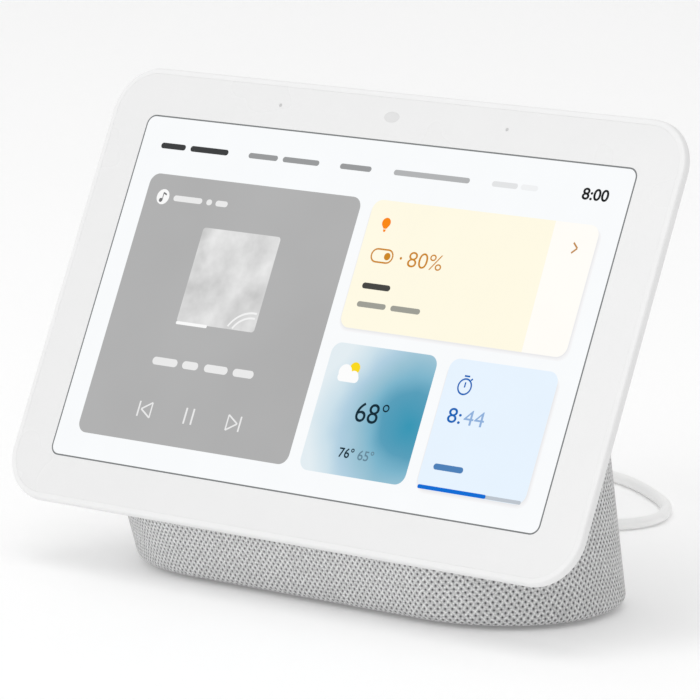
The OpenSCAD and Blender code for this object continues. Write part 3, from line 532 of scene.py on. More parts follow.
def card(finish, x0, x1, v0, v1, r, layer, steps=8):
    """A filled rounded rectangle."""
    half_w, half_h = (x1 - x0) / 2, (v1 - v0) / 2
    ring = rounded_ring(half_w, half_h, min(r, half_w, half_h) - 1e-4, 0, steps)
    patch(finish, [(x + (x0 + x1) / 2, v + (v0 + v1) / 2) for x, v, _ in ring], layer)


def disc(finish, x, v, r, layer, sides=32):
    """A filled round."""
    patch(finish, [(x + r * math.cos(2 * math.pi * k / sides), v + r * math.sin(2 * math.pi * k / sides))
                   for k in range(sides)], layer)


def hoop(finish, x, v, r, width, layer):
    """A ring line."""
    near, far, sides = r - width / 2, r + width / 2, 40
    for k in range(sides):
        a, b = 2 * math.pi * k / sides, 2 * math.pi * (k + 1) / sides
        patch(finish, [(x + s * math.cos(t), v + s * math.sin(t))
                       for s, t in ((near, a), (far, a), (far, b), (near, b))], layer)


def stroke(finish, points, width, layer):
    """A line of straight strokes with square ends."""
    for (x0, v0), (x1, v1) in zip(points, points[1:]):
        away = Vector((v0 - v1, x1 - x0)).normalized() * width / 2
        patch(finish, [(x0 - away.x, v0 - away.y), (x1 - away.x, v1 - away.y),
                       (x1 + away.x, v1 + away.y), (x0 + away.x, v0 + away.y)], layer)


def bars(finish, spans, v, tall, layer):
    """A row of rounded bars, one for each word that a real screen would show."""
    for x0, x1 in spans:
        card(finish, x0, x1, v - tall / 2, v + tall / 2, tall / 2, layer, steps=6)


def digits(finish, text, x0, x1, v0, v1, layer, weight=0.0):
    """Numbers, fitted to a space given in mm."""
    face = bpy.data.curves.new("digits", "FONT")
    face.body, face.offset, face.resolution_u = text, weight, 6
    maker = bpy.data.objects.new("digits", face)
    bpy.context.scene.collection.objects.link(maker)
    mesh = bpy.data.meshes.new_from_object(maker.evaluated_get(bpy.context.evaluated_depsgraph_get()))
    at = np.array([v.co[:2] for v in mesh.vertices])
    low, high = at.min(0), at.max(0)
    at = (at - low) / (high - low) * (x1 - x0, v1 - v0) + (x0, v0)
    faces = [tuple(p.vertices) for p in mesh.polygons]
    patches.setdefault(finish, []).append(([(x, v, layer * ink) for x, v in at], faces))
    bpy.data.objects.remove(maker)
    bpy.data.curves.remove(face)
    bpy.data.meshes.remove(mesh)


# The printed line round the panel, then the ground inside it
outside = rounded_ring(76.1, 45.05, 2.6, 0, 10)
inside = rounded_ring(75.72, 44.67, 2.22, 0, 10)
lit("printed_line", (0.49, 0.50, 0.505))
for k in range(len(outside)):
    after = (k + 1) % len(outside)
    patch("printed_line", [p[:2] for p in (outside[k], outside[after], inside[after], inside[k])], 1)
lit("screen_ground", (0.973, 0.980, 0.986))
patch("screen_ground", [p[:2] for p in inside], 1)

# The row of headings and the clock
lit("heading_black", (0.24, 0.245, 0.25))
bars("heading_black", [(-69.3, -61.2), (-59.6, -47.2)], 37.3, 1.5, 2)
lit("heading_grey", (0.60, 0.605, 0.61))
bars("heading_grey", [(-40.6, -31.2), (-29.6, -18.0), (-11.4, -1.6)], 37.3, 1.4, 2)
lit("heading_pale", (0.70, 0.705, 0.71))
bars("heading_pale", [(5.4, 28.6)], 37.3, 1.4, 2)
lit("heading_faint", (0.885, 0.89, 0.895))
bars("heading_faint", [(35.3, 43.0)], 37.3, 1.4, 2)
lit("heading_gone", (0.94, 0.945, 0.95))
bars("heading_gone", [(43.9, 49.0)], 37.3, 1.4, 2)
lit("number_black", (0.11, 0.115, 0.12))
digits("number_black", "8:00", 62.0, 69.7, 36.0, 39.0, 2, 0.022)

# The music card: a note, a plain picture with its progress line, and the three player keys
lit("music_grey", (0.678, 0.678, 0.679), (0.706, 0.707, 0.708), 45)
card("music_grey", -69.5, -1.7, -38.3, 30.0, 2.8, 2)
lit("music_white", (0.975, 0.975, 0.975))
disc("music_white", -63.9, 24.1, 2.0, 3)
lit("note_grey", (0.45, 0.45, 0.455))
disc("note_grey", -64.35, 23.2, 0.55, 4, 16)
stroke("note_grey", [(-63.9, 23.2), (-63.9, 25.25)], 0.26, 4)
patch("note_grey", [(-63.9, 25.35), (-62.85, 24.95), (-62.85, 24.5), (-63.9, 24.9)], 5)
lit("music_label", (0.915, 0.915, 0.915))
bars("music_label", [(-60.4, -51.0), (-49.6, -47.8), (-46.6, -42.7)], 24.1, 1.5, 3)
lit("album_square", (0.78, 0.78, 0.78), (0.93, 0.93, 0.93), 7)
card("album_square", -48.1, -23.1, -7.1, 17.6, 0.9, 3)
lit("album_ripple", (0.95, 0.95, 0.95))
for r, v in ((8.2, -10.5), (6.4, -10.0)):
    arc = [(-24.6 + r * math.cos(math.radians(t)), v + r * math.sin(math.radians(t)))
           for t in range(84, 160, 6)]
    stroke("album_ripple", [p for p in arc if p[1] > -6.9], 0.5, 4)
card("music_white", -48.1, -38.1, -7.7, -6.9, 0.35, 5)
bars("music_label", [(-52.0, -43.9), (-42.3, -37.2), (-35.2, -27.7), (-26.0, -19.4)], -17.6, 2.0, 3)
keys_mid, key_top, key_mid, key_foot = -35.6, -28.2, -30.15, -32.1
for side in (-1, 1):
    x = keys_mid + side * 14.2
    stroke("music_label", [(x - side * 1.9, key_top), (x - side * 1.9, key_foot), (x + side * 1.3, key_mid),
                           (x - side * 1.9, key_top)], thin_line, 3)
    stroke("music_label", [(x + side * 2.1, key_top), (x + side * 2.1, key_foot)], 0.5, 3)
    pause_x = keys_mid + side * 1.15
    stroke("music_label", [(pause_x, key_top + 0.1), (pause_x, key_foot - 0.1)], 0.55, 3)

# The lamp card, with a toggle, its level in per cent, and a chevron. Soft shades lie under it and the timer
# card
card_r, card_right = 2.8, 69.9
lamp_left, lamp_low, lamp_high = 2.0, -2.5, 30.1
timer_left, timer_low, timer_high = 37.9, -38.6, -6.1
for step, grey in enumerate((0.962, 0.945, 0.920)):
    shade, grow, layer = f"card_shade_{step}", 0.95 - 0.3 * step, 1.2 + step * 0.2
    lit(shade, (grey, grey, grey + 0.006))
    card(shade, lamp_left - grow * 0.3, card_right + grow, lamp_low - grow, lamp_high - 0.5, 3.1, layer)
    card(shade, timer_left - grow * 0.3, card_right + grow, timer_low - grow, timer_high - 0.9, 3.1, layer)
lit("lamp_cream", (0.996, 0.975, 0.892))
lit("lamp_light", (0.999, 0.988, 0.967))
card("lamp_light", lamp_left, card_right, lamp_low, lamp_high, card_r, 2)
lamp_mid = ((lamp_left + card_right) / 2, (lamp_low + lamp_high) / 2)
lamp_outline = rounded_ring(card_right - lamp_mid[0], lamp_high - lamp_mid[1], card_r, 0, 8)
cream_ends = [(57.3, lamp_low), (56.7, lamp_high)]
patch("lamp_cream", [(x + lamp_mid[0], v + lamp_mid[1]) for x, v, _ in lamp_outline if x < 0] + cream_ends, 3)
lit("lamp_orange", (0.976, 0.53, 0.06))
bulb = [(7.5 + 1.3 * math.cos(math.radians(t)), 24.5 + 1.3 * math.sin(math.radians(t)))
        for t in range(-30, 211, 12)]
patch("lamp_orange", bulb + [(7.05, 23.0), (7.95, 23.0)], 4)
patch("lamp_orange", [(7.05, 22.8), (7.95, 22.8), (7.75, 22.2), (7.25, 22.2)], 4)
lit("level_orange", (0.80, 0.53, 0.14))
toggle_left, toggle_right, toggle_v, toggle_r = 7.4, 10.6, 16.2, 1.65
for v in (toggle_v + toggle_r, toggle_v - toggle_r):
    stroke("level_orange", [(toggle_left, v), (toggle_right, v)], thin_line, 4)
for x, first in ((toggle_left, 90), (toggle_right, -90)):
    turns = [math.radians(first + t) for t in range(0, 181, 15)]
    arc = [(x + toggle_r * math.cos(t), toggle_v + toggle_r * math.sin(t)) for t in turns]
    stroke("level_orange", arc, thin_line, 4)
disc("level_orange", toggle_right, toggle_v, 0.95, 4)
disc("level_orange", 14.8, toggle_v, 0.35, 4, 16)
digits("level_orange", "80%", 17.0, 27.4, 14.3, 18.2, 4, -0.006)
lit("label_black", (0.27, 0.27, 0.26))
bars("label_black", [(5.6, 14.2)], 8.4, 1.5, 4)
lit("label_grey", (0.62, 0.62, 0.585))
bars("label_grey", [(5.6, 14.4), (15.9, 24.9)], 3.7, 1.4, 4)
lit("chevron_orange", (0.76, 0.55, 0.32))
stroke("chevron_orange", [(63.5, 25.35), (64.9, 24.05), (63.5, 22.75)], 0.45, 4)

# The weather card: a cloud over a sun, and three temperatures
weather = lit("weather_blue", (0.40, 0.65, 0.74))
card("weather_blue", lamp_left, 34.2, timer_low, timer_high - 0.2, card_r, 2)
lit("sun_yellow", (0.975, 0.85, 0.11))
disc("sun_yellow", 10.5, -12.2, 1.55, 3)
lit("cloud_white", (0.985, 0.985, 0.985))
disc("cloud_white", 7.9, -13.4, 1.95, 4)
disc("cloud_white", 10.7, -14.3, 1.5, 4.2)
card("cloud_white", 6.0, 12.4, -15.8, -13.6, 1.1, 4.4)
lit("number_slate", (0.05, 0.16, 0.21))
digits("number_slate", "68°", 14.5, 24.0, -25.0, -19.8, 3)
lit("number_deep", (0.10, 0.19, 0.24))
digits("number_deep", "76°", 12.8, 17.3, -34.2, -31.6, 3, 0.015)
lit("number_mist", (0.40, 0.53, 0.60))
digits("number_mist", "65°", 18.6, 23.3, -34.2, -31.6, 3, 0.01)

# The timer card: a stopwatch, the time left, and how far it has run
lit("timer_pale", (0.902, 0.949, 0.994))
card("timer_pale", timer_left, card_right, timer_low, timer_high, card_r, 2)
lit("timer_blue", (0.07, 0.39, 0.72))
hoop("timer_blue", 43.9, -12.7, 1.9, thin_line, 3)
stroke("timer_blue", [(43.9, -12.9), (43.9, -11.6)], 0.4, 3)
stroke("timer_blue", [(43.1, -10.1), (44.7, -10.1)], thin_line, 3)
stroke("timer_blue", [(45.2, -11.0), (45.7, -10.6)], thin_line, 3)
digits("timer_blue", "8:", 41.4, 45.4, -21.8, -18.1, 3, 0.004)
lit("timer_soft", (0.56, 0.69, 0.86))
digits("timer_soft", "44", 46.2, 52.2, -21.8, -18.1, 3)
lit("timer_label", (0.30, 0.50, 0.72))
bars("timer_label", [(41.4, 50.2)], -32.7, 1.5, 3)
lit("timer_track", (0.74, 0.77, 0.805))
card("timer_track", 50.0, 68.9, -38.5, -37.6, 0.4, 3)
lit("progress_blue", (0.035, 0.42, 0.83))
card("progress_blue", 38.4, 58.6, -38.5, -37.5, 0.45, 4)

# The weather card's own finish: a cloud of deeper blue low on its right, which thins out to the corners
weather_nodes, weather_links = weather.node_tree.nodes, weather.node_tree.links
for old in [n for n in weather_nodes if n.type in ("TEX_NOISE", "VALTORGB")]:
    weather_nodes.remove(old)
spot = weather_nodes.new("ShaderNodeVectorMath")
spot.operation = "DISTANCE"
deepest_blue = Vector((0.0314, -0.0242, 0))
spot.inputs[1].default_value = picture_place @ deepest_blue
weather_place = next(n for n in weather_nodes if n.type == "TEX_COORD")
weather_links.new(weather_place.outputs["Object"], spot.inputs[0])
drift = weather_nodes.new("ShaderNodeTexNoise")
drift.inputs["Scale"].default_value = 55
weather_links.new(weather_place.outputs["Object"], drift.inputs["Vector"])
spread = weather_nodes.new("ShaderNodeMath")
spread.operation = "MULTIPLY_ADD"
weather_links.new(drift.outputs["Fac"], spread.inputs[0])
spread.inputs[1].default_value = 0.008
weather_links.new(spot.outputs["Value"], spread.inputs[2])
reach = weather_nodes.new("ShaderNodeMapRange")
reach.inputs["From Min"].default_value, reach.inputs["From Max"].default_value = 0.004, 0.034
weather_links.new(spread.outputs["Value"], reach.inputs["Value"])
blues = weather_nodes.new("ShaderNodeValToRGB")
blues.color_ramp.elements[0].color = linear((0.22, 0.59, 0.71))
blues.color_ramp.elements[1].color = linear((0.89, 0.93, 0.95))
for at, tone in ((0.26, (0.34, 0.62, 0.73)), (0.40, (0.49, 0.71, 0.80)), (0.53, (0.60, 0.76, 0.83)),
                 (0.67, (0.69, 0.81, 0.88)), (0.80, (0.80, 0.88, 0.92))):
    blues.color_ramp.elements.new(at).color = linear(tone)
weather_links.new(reach.outputs["Result"], blues.inputs["Fac"])
weather_links.new(blues.outputs["Color"], weather_nodes["Principled BSDF"].inputs["Emission Color"])

# All the patches become one mesh, with a material for each tone
ink_rise = 0.01
ink_points, ink_faces, ink_finish = [], [], []
for number, finish in enumerate(patches):
    for points, faces in patches[finish]:
        base = len(ink_points)
        ink_points += [(x, v, ink_rise + z) for x, v, z in points]
        for face in faces or [tuple(range(len(points)))]:
            ink_faces.append(tuple(base + i for i in face))
            ink_finish.append(number)
picture = piece("screen_picture", ink_points, ink_faces, lit_finishes[next(iter(patches))],
                slot="panel_glass", place=picture_place)
for finish in list(patches)[1:]:
    picture.data.materials.append(lit_finishes[finish])
picture.data.polygons.foreach_set("material_index", ink_finish)
picture.data.polygons.foreach_set("use_smooth", [False] * len(ink_finish))

# --- Light sensor window ---
# A small oval left in the white print over the light sensor, in the middle of the top border. It is filled
# with a pale grey ink that lets part of the light through.
window_ink = moulded("sensor_window", (0.865, 0.865, 0.865), 0.25, grain=1.0, relief=0.0004, mottle=0.02)
window_half_w, window_half_h, window_sides = 2.35, 1.4, 48
window_turns = [2 * math.pi * k / window_sides for k in range(window_sides)]
window_points = [(window_half_w * math.cos(t), border_up + window_half_h * math.sin(t), ink)
                 for t in window_turns]
piece("sensor_window", window_points, [tuple(range(window_sides))], window_ink, slot="printed_glass",
      place=head_place)

# --- Knitted cover of the base ---
# A tube of light-grey warp knit with small open eyes in slanting rows. It is heat-formed over the hard shell,
# turned in under the bottom edge and glued there, and tucked into the gap under the display head.
base_w, base_back, base_front, base_flat = 137.2, 34.9, 23.4, 36.0
side_lean, front_lean, back_lean, middle_lean, base_mid = 0.04, 0.5, 0.15, 0.14, 4.9
front_power, back_power = 2.0, 2.3
base_low, hem_r, shoulder_z, shoulder_r = 1.0, 2.5, 58.0, 24.0
measured_z, neck_gap, lip_gap = 25.0, 0.2, 0.6
eye_pitch, eye_rows, eye_deep = 1.55, 1.02, 0.16


def base_outline(turn, z, inset):
    """Points of the base's outline at one height. turn is 0 to 4: a quarter of the outline for each unit."""
    quarter = np.floor(turn).astype(int) % 4
    t = np.radians(90 * turn)
    middle = base_mid - middle_lean * z
    a = base_w / 2 - side_lean * z - inset - base_flat
    front = middle + base_front + front_lean * z - inset
    back = base_back - back_lean * z - inset - middle
    power = np.where(quarter < 2, 2 / back_power, 2 / front_power)
    cos, sin = np.cos(t), np.sin(t)
    side = np.where((quarter == 0) | (quarter == 3), base_flat, -base_flat)
    x = side + a * np.sign(cos) * np.abs(cos) ** power
    y = middle + np.where(quarter < 2, back, front) * np.sign(sin) * np.abs(sin) ** power
    return x, y


def outline_turns(count):
    """Turns, and the straight runs' shares, that space points evenly round the base."""
    dense, round_steps, flat_steps, quarter_end = [], 400, 160, 0.99999
    for quarter in range(4):
        dense += [(quarter + (k + 0.001) / (round_steps + 0.2), 0.0) for k in range(round_steps)]
        if quarter in (0, 2):
            dense += [(quarter + quarter_end, (k + 1) / flat_steps) for k in range(flat_steps - 1)]
    dense = np.array(dense)
    x, y = base_outline(dense[:, 0], measured_z, 0.0)
    x = x + np.where(dense[:, 0] < 2, -1, 1) * dense[:, 1] * 2 * base_flat
    run = np.concatenate([[0], np.cumsum(np.hypot(np.diff(x), np.diff(y)))])
    total = run[-1] + math.hypot(x[0] - x[-1], y[0] - y[-1])
    want = np.arange(count) * total / count
    index = np.searchsorted(run, want, side="right") - 1
    after = np.minimum(index + 1, len(run) - 1)
    share = (want - run[index]) / np.maximum(run[after] - run[index], 1e-9)
    same = np.floor(dense[index, 0]) == np.floor(dense[after, 0])
    turn = dense[index, 0] + np.where(same, share * (dense[after, 0] - dense[index, 0]), 0)
    flat = dense[index, 1] + np.where(same, share * (dense[after, 1] - dense[index, 1]), 0)
    return turn, flat, total


def clear_of_head(x, y, z):
    """How far points in mm stand clear of the back of the display head; negative where the head is."""
    dy, dz = y - head_y, z - head_z
    v = dy * math.sin(head_lean) + dz * math.cos(head_lean)
    depth = dy * math.cos(head_lean) - dz * math.sin(head_lean) - neck_gap
    within = np.clip(depth, lip_d, head_t)
    a = np.arcsin(np.clip(math.sin(arc_start) + (within - lip_d) / back_arc, 0, 1))
    inset = back_arc * (math.cos(arc_start) - np.cos(a))
    r = head_r + arc_spread * inset
    qx = np.abs(x) - (head_w / 2 - inset) + r
    qv = np.abs(v) - (head_h / 2 - inset) + r
    across = np.minimum(np.maximum(qx, qv), 0) + np.hypot(np.maximum(qx, 0), np.maximum(qv, 0)) - r
    return np.where(depth < lip_d + lip_gap, depth - lip_d - lip_gap, np.maximum(across, depth - head_t))


# The cloth's rows, as (height, inset): the turned-in hem, the side, and the shoulder
turn_in, hem_step, row_step, hem_rows, shoulder_rows = 7.1, 0.31, 0.29, 14, 122
rows = [(base_low, inset) for inset in np.arange(turn_in, hem_r, -hem_step)]
rows += [(base_low + hem_r * (1 - math.cos(a)), hem_r * (1 - math.sin(a)))
         for a in np.linspace(0, math.pi / 2, hem_rows)]
rows += [(z, 0.0) for z in np.arange(base_low + hem_r + row_step, shoulder_z, row_step)]
rows += [(shoulder_z + shoulder_r * math.sin(a), shoulder_r * (1 - math.cos(a)))
         for a in np.linspace(0, math.pi / 2, shoulder_rows)]
rows = np.array(rows)
knit_columns = 4 * 232
turn, flat, around = outline_turns(knit_columns)
climb = np.concatenate([[0], np.cumsum(np.hypot(np.diff(rows[:, 0]), np.diff(rows[:, 1])))])
knit = np.zeros((len(rows), knit_columns, 3))
for k, (z, inset) in enumerate(rows):
    x, y = base_outline(turn, z, inset)
    knit[k, :, 0] = x + np.where(turn < 2, -1, 1) * flat * 2 * base_flat
    knit[k, :, 1] = y
    knit[k, :, 2] = z

# Each column ends on the back of the head
clear = clear_of_head(knit[..., 0], knit[..., 1], knit[..., 2])
free_rows = 60
last = np.array([next((k for k in range(free_rows, len(rows)) if clear[k, c] < 0), len(rows) - 1)
                 for c in range(knit_columns)])
columns = np.arange(knit_columns)
before = np.maximum(last - 1, 0)
share = clear[before, columns] / np.maximum(clear[before, columns] - clear[last, columns], 1e-9)
rim = knit[before, columns] + (knit[last, columns] - knit[before, columns]) * np.clip(share, 0, 1)[:, None]

# The eyes are sunk into the cloth where two families of slanting yarns leave a gap. The columns slant over
# the right half of the front, and the rows climb towards the right end from both sides
along = np.roll(knit, -1, 1) - np.roll(knit, 1, 1)
upward = np.gradient(knit, axis=0)
normal = np.cross(along, upward)
normal /= np.maximum(np.linalg.norm(normal, axis=2, keepdims=True), 1e-9)
eyes_round = round(around / eye_pitch)
from_right = around * (1 - columns / knit_columns)
slant = np.interp(from_right, (0, 50, 125, 165, around - 50, around), (-0.03, 0.145, 0.15, 0, 0, -0.03))
rise = np.interp(from_right, (0, 50, 90, 125, around - 90, around), (8, 2.6, 0.6, 0, 0, 8))
straight_row = 43
weave_v = (climb / eye_rows)[:, None] - rise
weave_u = columns / knit_columns * eyes_round - slant * (weave_v - straight_row)
slant_a = 0.5 + 0.5 * np.cos(2 * math.pi * (weave_u + weave_v / 2))
slant_b = 0.5 + 0.5 * np.cos(2 * math.pi * (-weave_u + weave_v / 2))
sunk = (slant_a * slant_b) ** 2
knit = knit - normal * (sunk * eye_deep)[..., None]
for c in range(knit_columns):
    knit[last[c]:, c] = rim[c]
beyond = np.arange(len(rows))[:, None] >= last[None, :]

# The hole for the plug: the cloth is drawn back to its edge
jack_z, jack_hole, well_behind = plug_axis[1], 4.35, 20
off = np.hypot(knit[..., 0], knit[..., 2] - jack_z)
in_hole = (off < jack_hole) & (knit[..., 1] > well_behind)
pull = np.where(in_hole, jack_hole / np.maximum(off, 1e-6), 1.0)
knit[..., 0] = knit[..., 0] * pull
knit[..., 2] = jack_z + (knit[..., 2] - jack_z) * pull

row_i, col_i = np.meshgrid(np.arange(len(rows) - 1), columns, indexing="ij")
next_c = (col_i + 1) % knit_columns
corners = [(row_i, col_i), (row_i, next_c), (row_i + 1, next_c), (row_i + 1, col_i)]
gone = np.ones(row_i.shape, bool)
holed = np.ones(row_i.shape, bool)
for r, c in corners:
    gone &= beyond[r, c]
    holed &= in_hole[r, c]
kept = ~(gone | holed)
quads = np.stack([r * knit_columns + c for r, c in corners], -1)[kept]
used, packed = np.unique(quads, return_inverse=True)
knit_points = knit.reshape(-1, 3)[used]
knit_faces = packed.reshape(quads.shape)

cloth = bpy.data.meshes.new("knitted_cover")
cloth.from_pydata((knit_points * MM).tolist(), [], knit_faces.tolist())
weave = cloth.uv_layers.new(name="weave")
u_of, v_of = [], []
for r, c in corners:
    u = weave_u[r, c] + np.where((c == 0) & (col_i == knit_columns - 1), eyes_round, 0)
    u_of.append(u[kept])
    v_of.append(weave_v[r, c][kept])
weave_at = np.stack([np.stack(u_of, -1), np.stack(v_of, -1)], -1).reshape(-1)
weave.data.foreach_set("uv", weave_at.astype(np.float32))
cloth.polygons.foreach_set("use_smooth", [True] * len(cloth.polygons))
knitted_cover = bpy.data.objects.new("knitted_cover", cloth)
bpy.context.scene.collection.objects.link(knitted_cover)

# The yarn: two tints spun together, with painted highlight on the high strands, painted shade between them
# and deepest in the open eyes, and fine fibre
yarn = bpy.data.materials.new("grey_knit")
yarn.use_nodes = True
yarn_nodes, yarn_links = yarn.node_tree.nodes, yarn.node_tree.links


def node_math(operation, first, second=None, third=None):
    """One step of arithmetic in the knit's material. Each value is a number or another step's output."""
    step = yarn_nodes.new("ShaderNodeMath")
    step.operation = operation
    for socket, value in zip(step.inputs, (first, second, third)):
        if value is None:
            continue
        if isinstance(value, (int, float)):
            socket.default_value = value
        else:
            yarn_links.new(value, socket)
    return step.outputs[0]


yarn_shader = yarn_nodes["Principled BSDF"]
yarn_shader.inputs["Sheen Weight"].default_value = 0.25
yarn_shader.inputs["Sheen Roughness"].default_value = 0.5
yarn_shader.inputs["Specular IOR Level"].default_value = 0.2
yarn_uv = yarn_nodes.new("ShaderNodeUVMap")
yarn_uv.uv_map = "weave"
yarn_split = yarn_nodes.new("ShaderNodeSeparateXYZ")
yarn_links.new(yarn_uv.outputs["UV"], yarn_split.inputs[0])
u_out, v_out = yarn_split.outputs["X"], yarn_split.outputs["Y"]
half_v = node_math("MULTIPLY", v_out, 0.5)
waves = []
for sign in (1, -1):
    phase = node_math("MULTIPLY_ADD", u_out, float(sign), half_v)
    wave = node_math("COSINE", node_math("MULTIPLY", phase, 2 * math.pi))
    waves.append(node_math("MULTIPLY_ADD", wave, 0.5, 0.5))
eye_edge, strand_edge = 2.6, 1.6
# Mask of the open eyes: painted shade in the base colour, and the dip in the bump
eye_shade_and_dip = node_math("POWER", node_math("MULTIPLY", waves[0], waves[1]), eye_edge)
crossing = node_math("MINIMUM", waves[0], waves[1])
# Painted highlight along the high strands between the eyes
strand_painted_highlight = node_math("POWER", node_math("SUBTRACT", 1.0, crossing), strand_edge)
fibre_place = yarn_nodes.new("ShaderNodeTexCoord")
fibre = yarn_nodes.new("ShaderNodeTexNoise")
fibre.inputs["Scale"].default_value = 2600
fibre.inputs["Detail"].default_value = 3
yarn_links.new(fibre_place.outputs["Object"], fibre.inputs["Vector"])
melange = yarn_nodes.new("ShaderNodeTexNoise")
melange.inputs["Scale"].default_value = 2100
yarn_links.new(fibre_place.outputs["Object"], melange.inputs["Vector"])
yarn_tints = yarn_nodes.new("ShaderNodeValToRGB")
yarn_tints.color_ramp.elements[0].position, yarn_tints.color_ramp.elements[1].position = 0.36, 0.64
yarn_tints.color_ramp.elements[0].color = linear((0.73, 0.73, 0.73))
yarn_tints.color_ramp.elements[1].color = linear((0.94, 0.94, 0.94))
yarn_links.new(melange.outputs["Fac"], yarn_tints.inputs["Fac"])
# Painted highlight: the grey round the eyes lifts to the yarn's tints on the high strands
lift = yarn_nodes.new("ShaderNodeMix")
lift.data_type = "RGBA"
lift.inputs["A"].default_value = linear((0.68, 0.68, 0.685))
yarn_links.new(yarn_tints.outputs["Color"], lift.inputs["B"])
yarn_links.new(strand_painted_highlight, lift.inputs["Factor"])
# Painted shade: near black in the open eyes
eye_shade_mix = yarn_nodes.new("ShaderNodeMix")
eye_shade_mix.data_type = "RGBA"
yarn_links.new(lift.outputs["Result"], eye_shade_mix.inputs["A"])
eye_shade_mix.inputs["B"].default_value = linear((0.10, 0.10, 0.105))
yarn_links.new(eye_shade_and_dip, eye_shade_mix.inputs["Factor"])
yarn_links.new(eye_shade_mix.outputs["Result"], yarn_shader.inputs["Base Color"])
yarn_rough = node_math("MULTIPLY_ADD", fibre.outputs["Fac"], 0.2, 0.75)
yarn_links.new(yarn_rough, yarn_shader.inputs["Roughness"])
yarn_high = node_math("MULTIPLY_ADD", fibre.outputs["Fac"], 0.35, node_math("SUBTRACT", 1.0, eye_shade_and_dip))
yarn_bump = yarn_nodes.new("ShaderNodeBump")
yarn_bump.inputs["Strength"].default_value = 0.6
yarn_bump.inputs["Distance"].default_value = 0.12 * MM
yarn_links.new(yarn_high, yarn_bump.inputs["Height"])
yarn_links.new(yarn_bump.outputs["Normal"], yarn_shader.inputs["Normal"])
cloth.materials.append(yarn)
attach(knitted_cover, "device")
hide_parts("fabric_sleeve")

# --- Finishes of the parts whose CAD shape is right as it is ---
# The panel and its light, boards, shields, speaker, ballast and fasteners are hidden in use, and each still
# has its own finish: plated and drawn metals, green board, copper, foam, rubber and plain dark mouldings.
finishes = {
    "printed_glass": printed,
    "white_plastic": satin_white,
    "shell_plastic": moulded("shell_plastic", (0.80, 0.80, 0.81), 0.55, grain=0.5, relief=0.03),
    "dark_plastic": moulded("dark_plastic", (0.13, 0.13, 0.14), 0.5, grain=0.4, relief=0.03, mottle=0.05),
    "grey_rubber": moulded("grey_rubber", (0.52, 0.52, 0.53), 0.82, grain=0.3, relief=0.05, mottle=0.03),
    "black_foam": moulded("black_foam", (0.07, 0.07, 0.075), 0.95, grain=0.35, relief=0.2, mottle=0.2),
    "cord_jacket": jacket,
    "panel_glass": moulded("panel_glass", (0.07, 0.08, 0.09), 0.12, grain=1.5, relief=0.001, mottle=0.03,
                           coat=0.3),
    "clear_film": moulded("clear_film", (0.80, 0.84, 0.86), 0.15, grain=1.5, relief=0.002, mottle=0.02),
    "circuit_board": moulded("circuit_board", (0.05, 0.27, 0.15), 0.4, grain=0.25, relief=0.02, mottle=0.18,
                             spots=2),
    "copper_flex": moulded("copper_flex", (0.80, 0.50, 0.20), 0.35, grain=0.4, relief=0.01, mottle=0.06,
                           spots=3),
    "copper_wire": moulded("copper_wire", (0.78, 0.45, 0.24), 0.3, grain=0.2, relief=0.05, metallic=1.0,
                           drawn=(1, 12, 1)),
    "aluminium_sheet": moulded("aluminium_sheet", (0.80, 0.81, 0.82), 0.34, grain=0.5, relief=0.01,
                               mottle=0.03, metallic=1.0, drawn=(0.1, 1, 1)),
    "plated_steel": sleeve_metal,
    "raw_steel": moulded("raw_steel", (0.47, 0.47, 0.49), 0.42, grain=0.4, relief=0.03, mottle=0.08,
                         metallic=1.0),
    "magnet_ceramic": moulded("magnet_ceramic", (0.15, 0.15, 0.16), 0.7, grain=0.5, relief=0.05, mottle=0.1),
    "paper_cone": moulded("paper_cone", (0.13, 0.13, 0.14), 0.85, grain=0.6, relief=0.12, mottle=0.1),
    "gap_pad": moulded("gap_pad", (0.52, 0.58, 0.68), 0.8, grain=0.5, relief=0.03, mottle=0.05),
    "wire_jacket": moulded("wire_jacket", (0.62, 0.13, 0.11), 0.4, grain=0.3, relief=0.01, mottle=0.03),
    "grey_knit": yarn,
}
for part in frame["record"]["subparts"]:
    node = frame["nodes"][part["node"]]
    if node.hide_render:
        continue
    node.data.materials.clear()
    node.data.materials.append(finishes[part["material_slot"]])

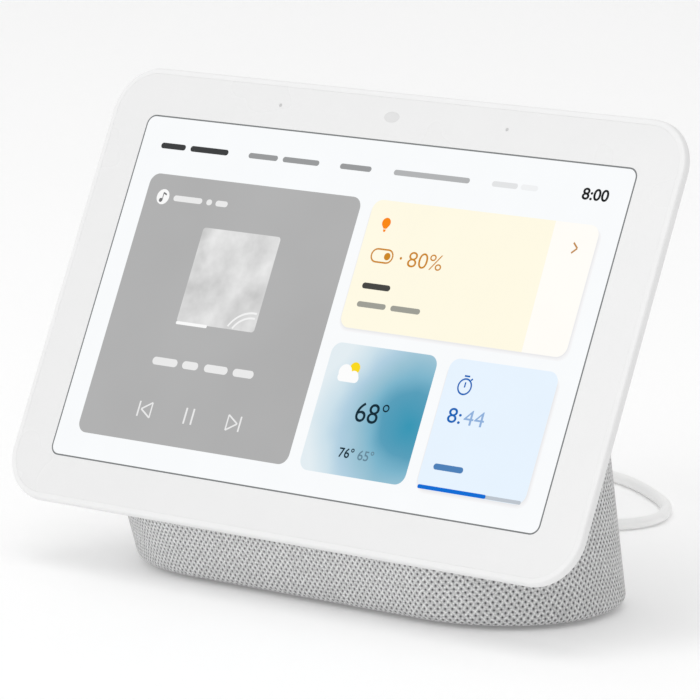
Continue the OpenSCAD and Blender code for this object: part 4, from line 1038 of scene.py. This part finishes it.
# --- Floor, backdrop and lights ---
# A pale sweep that rises behind the display, and broad soft lights from the front left, the right and above.
sweep_points, sweep_faces = [], []
sweep_from, sweep_r, sweep_half_w = 2.0, 1.5, 6
sweep = [(-6.0, 0.0), (sweep_from, 0.0)]
sweep += [(sweep_from + sweep_r * math.sin(a), sweep_r - sweep_r * math.cos(a))
          for a in np.linspace(0.1, math.pi / 2, 14)]
sweep += [(sweep_from + sweep_r, 5.0)]
toward = Vector((-0.6291, 0.7773, 0))
across = Vector((0.7773, 0.6291, 0))
for distance, height in sweep:
    for side in (-sweep_half_w, sweep_half_w):
        sweep_points.append(tuple(toward * distance + across * side + Vector((0, 0, height))))
for k in range(len(sweep) - 1):
    sweep_faces.append((2 * k, 2 * k + 1, 2 * k + 3, 2 * k + 2))
sweep_mesh = bpy.data.meshes.new("backdrop")
sweep_mesh.from_pydata(sweep_points, [], sweep_faces)
sweep_mesh.polygons.foreach_set("use_smooth", [True] * len(sweep_faces))
backdrop = bpy.data.objects.new("backdrop", sweep_mesh)
paper = moulded("pale_paper", (0.97, 0.97, 0.97), 0.9, grain=1.5, relief=0.02, mottle=0.001, spots=200)
paper_shader = paper.node_tree.nodes["Principled BSDF"]
paper_shader.inputs["Emission Color"].default_value = (1, 1, 1, 1)
paper_shader.inputs["Emission Strength"].default_value = 0.12
sweep_mesh.materials.append(paper)
bpy.context.scene.collection.objects.link(backdrop)

world = bpy.data.worlds.new("studio")
world.use_nodes = True
sky = world.node_tree.nodes["Background"]
sky.inputs["Color"].default_value = (1, 1, 1, 1)
sky.inputs["Strength"].default_value = 0.66
bpy.context.scene.world = world
bpy.context.scene.view_settings.view_transform = "Standard"


def softbox(name, at, aim, size, power):
    """A square soft light that looks at a point."""
    light = bpy.data.lights.new(name, "AREA")
    light.shape, light.size, light.energy = "SQUARE", size, power
    lamp = bpy.data.objects.new(name, light)
    lamp.location = at
    lamp.rotation_euler = (Vector(aim) - Vector(at)).to_track_quat("-Z", "Y").to_euler()
    bpy.context.scene.collection.objects.link(lamp)


display_middle = (0, 0, 0.06)
softbox("key", (-0.8, -2.7, 1.5), display_middle, 1.6, 17)
softbox("fill", (2.4, -0.8, 1.3), display_middle, 1.0, 1.5)
softbox("top", (0.1, -0.7, 2.6), display_middle, 2.0, 15)
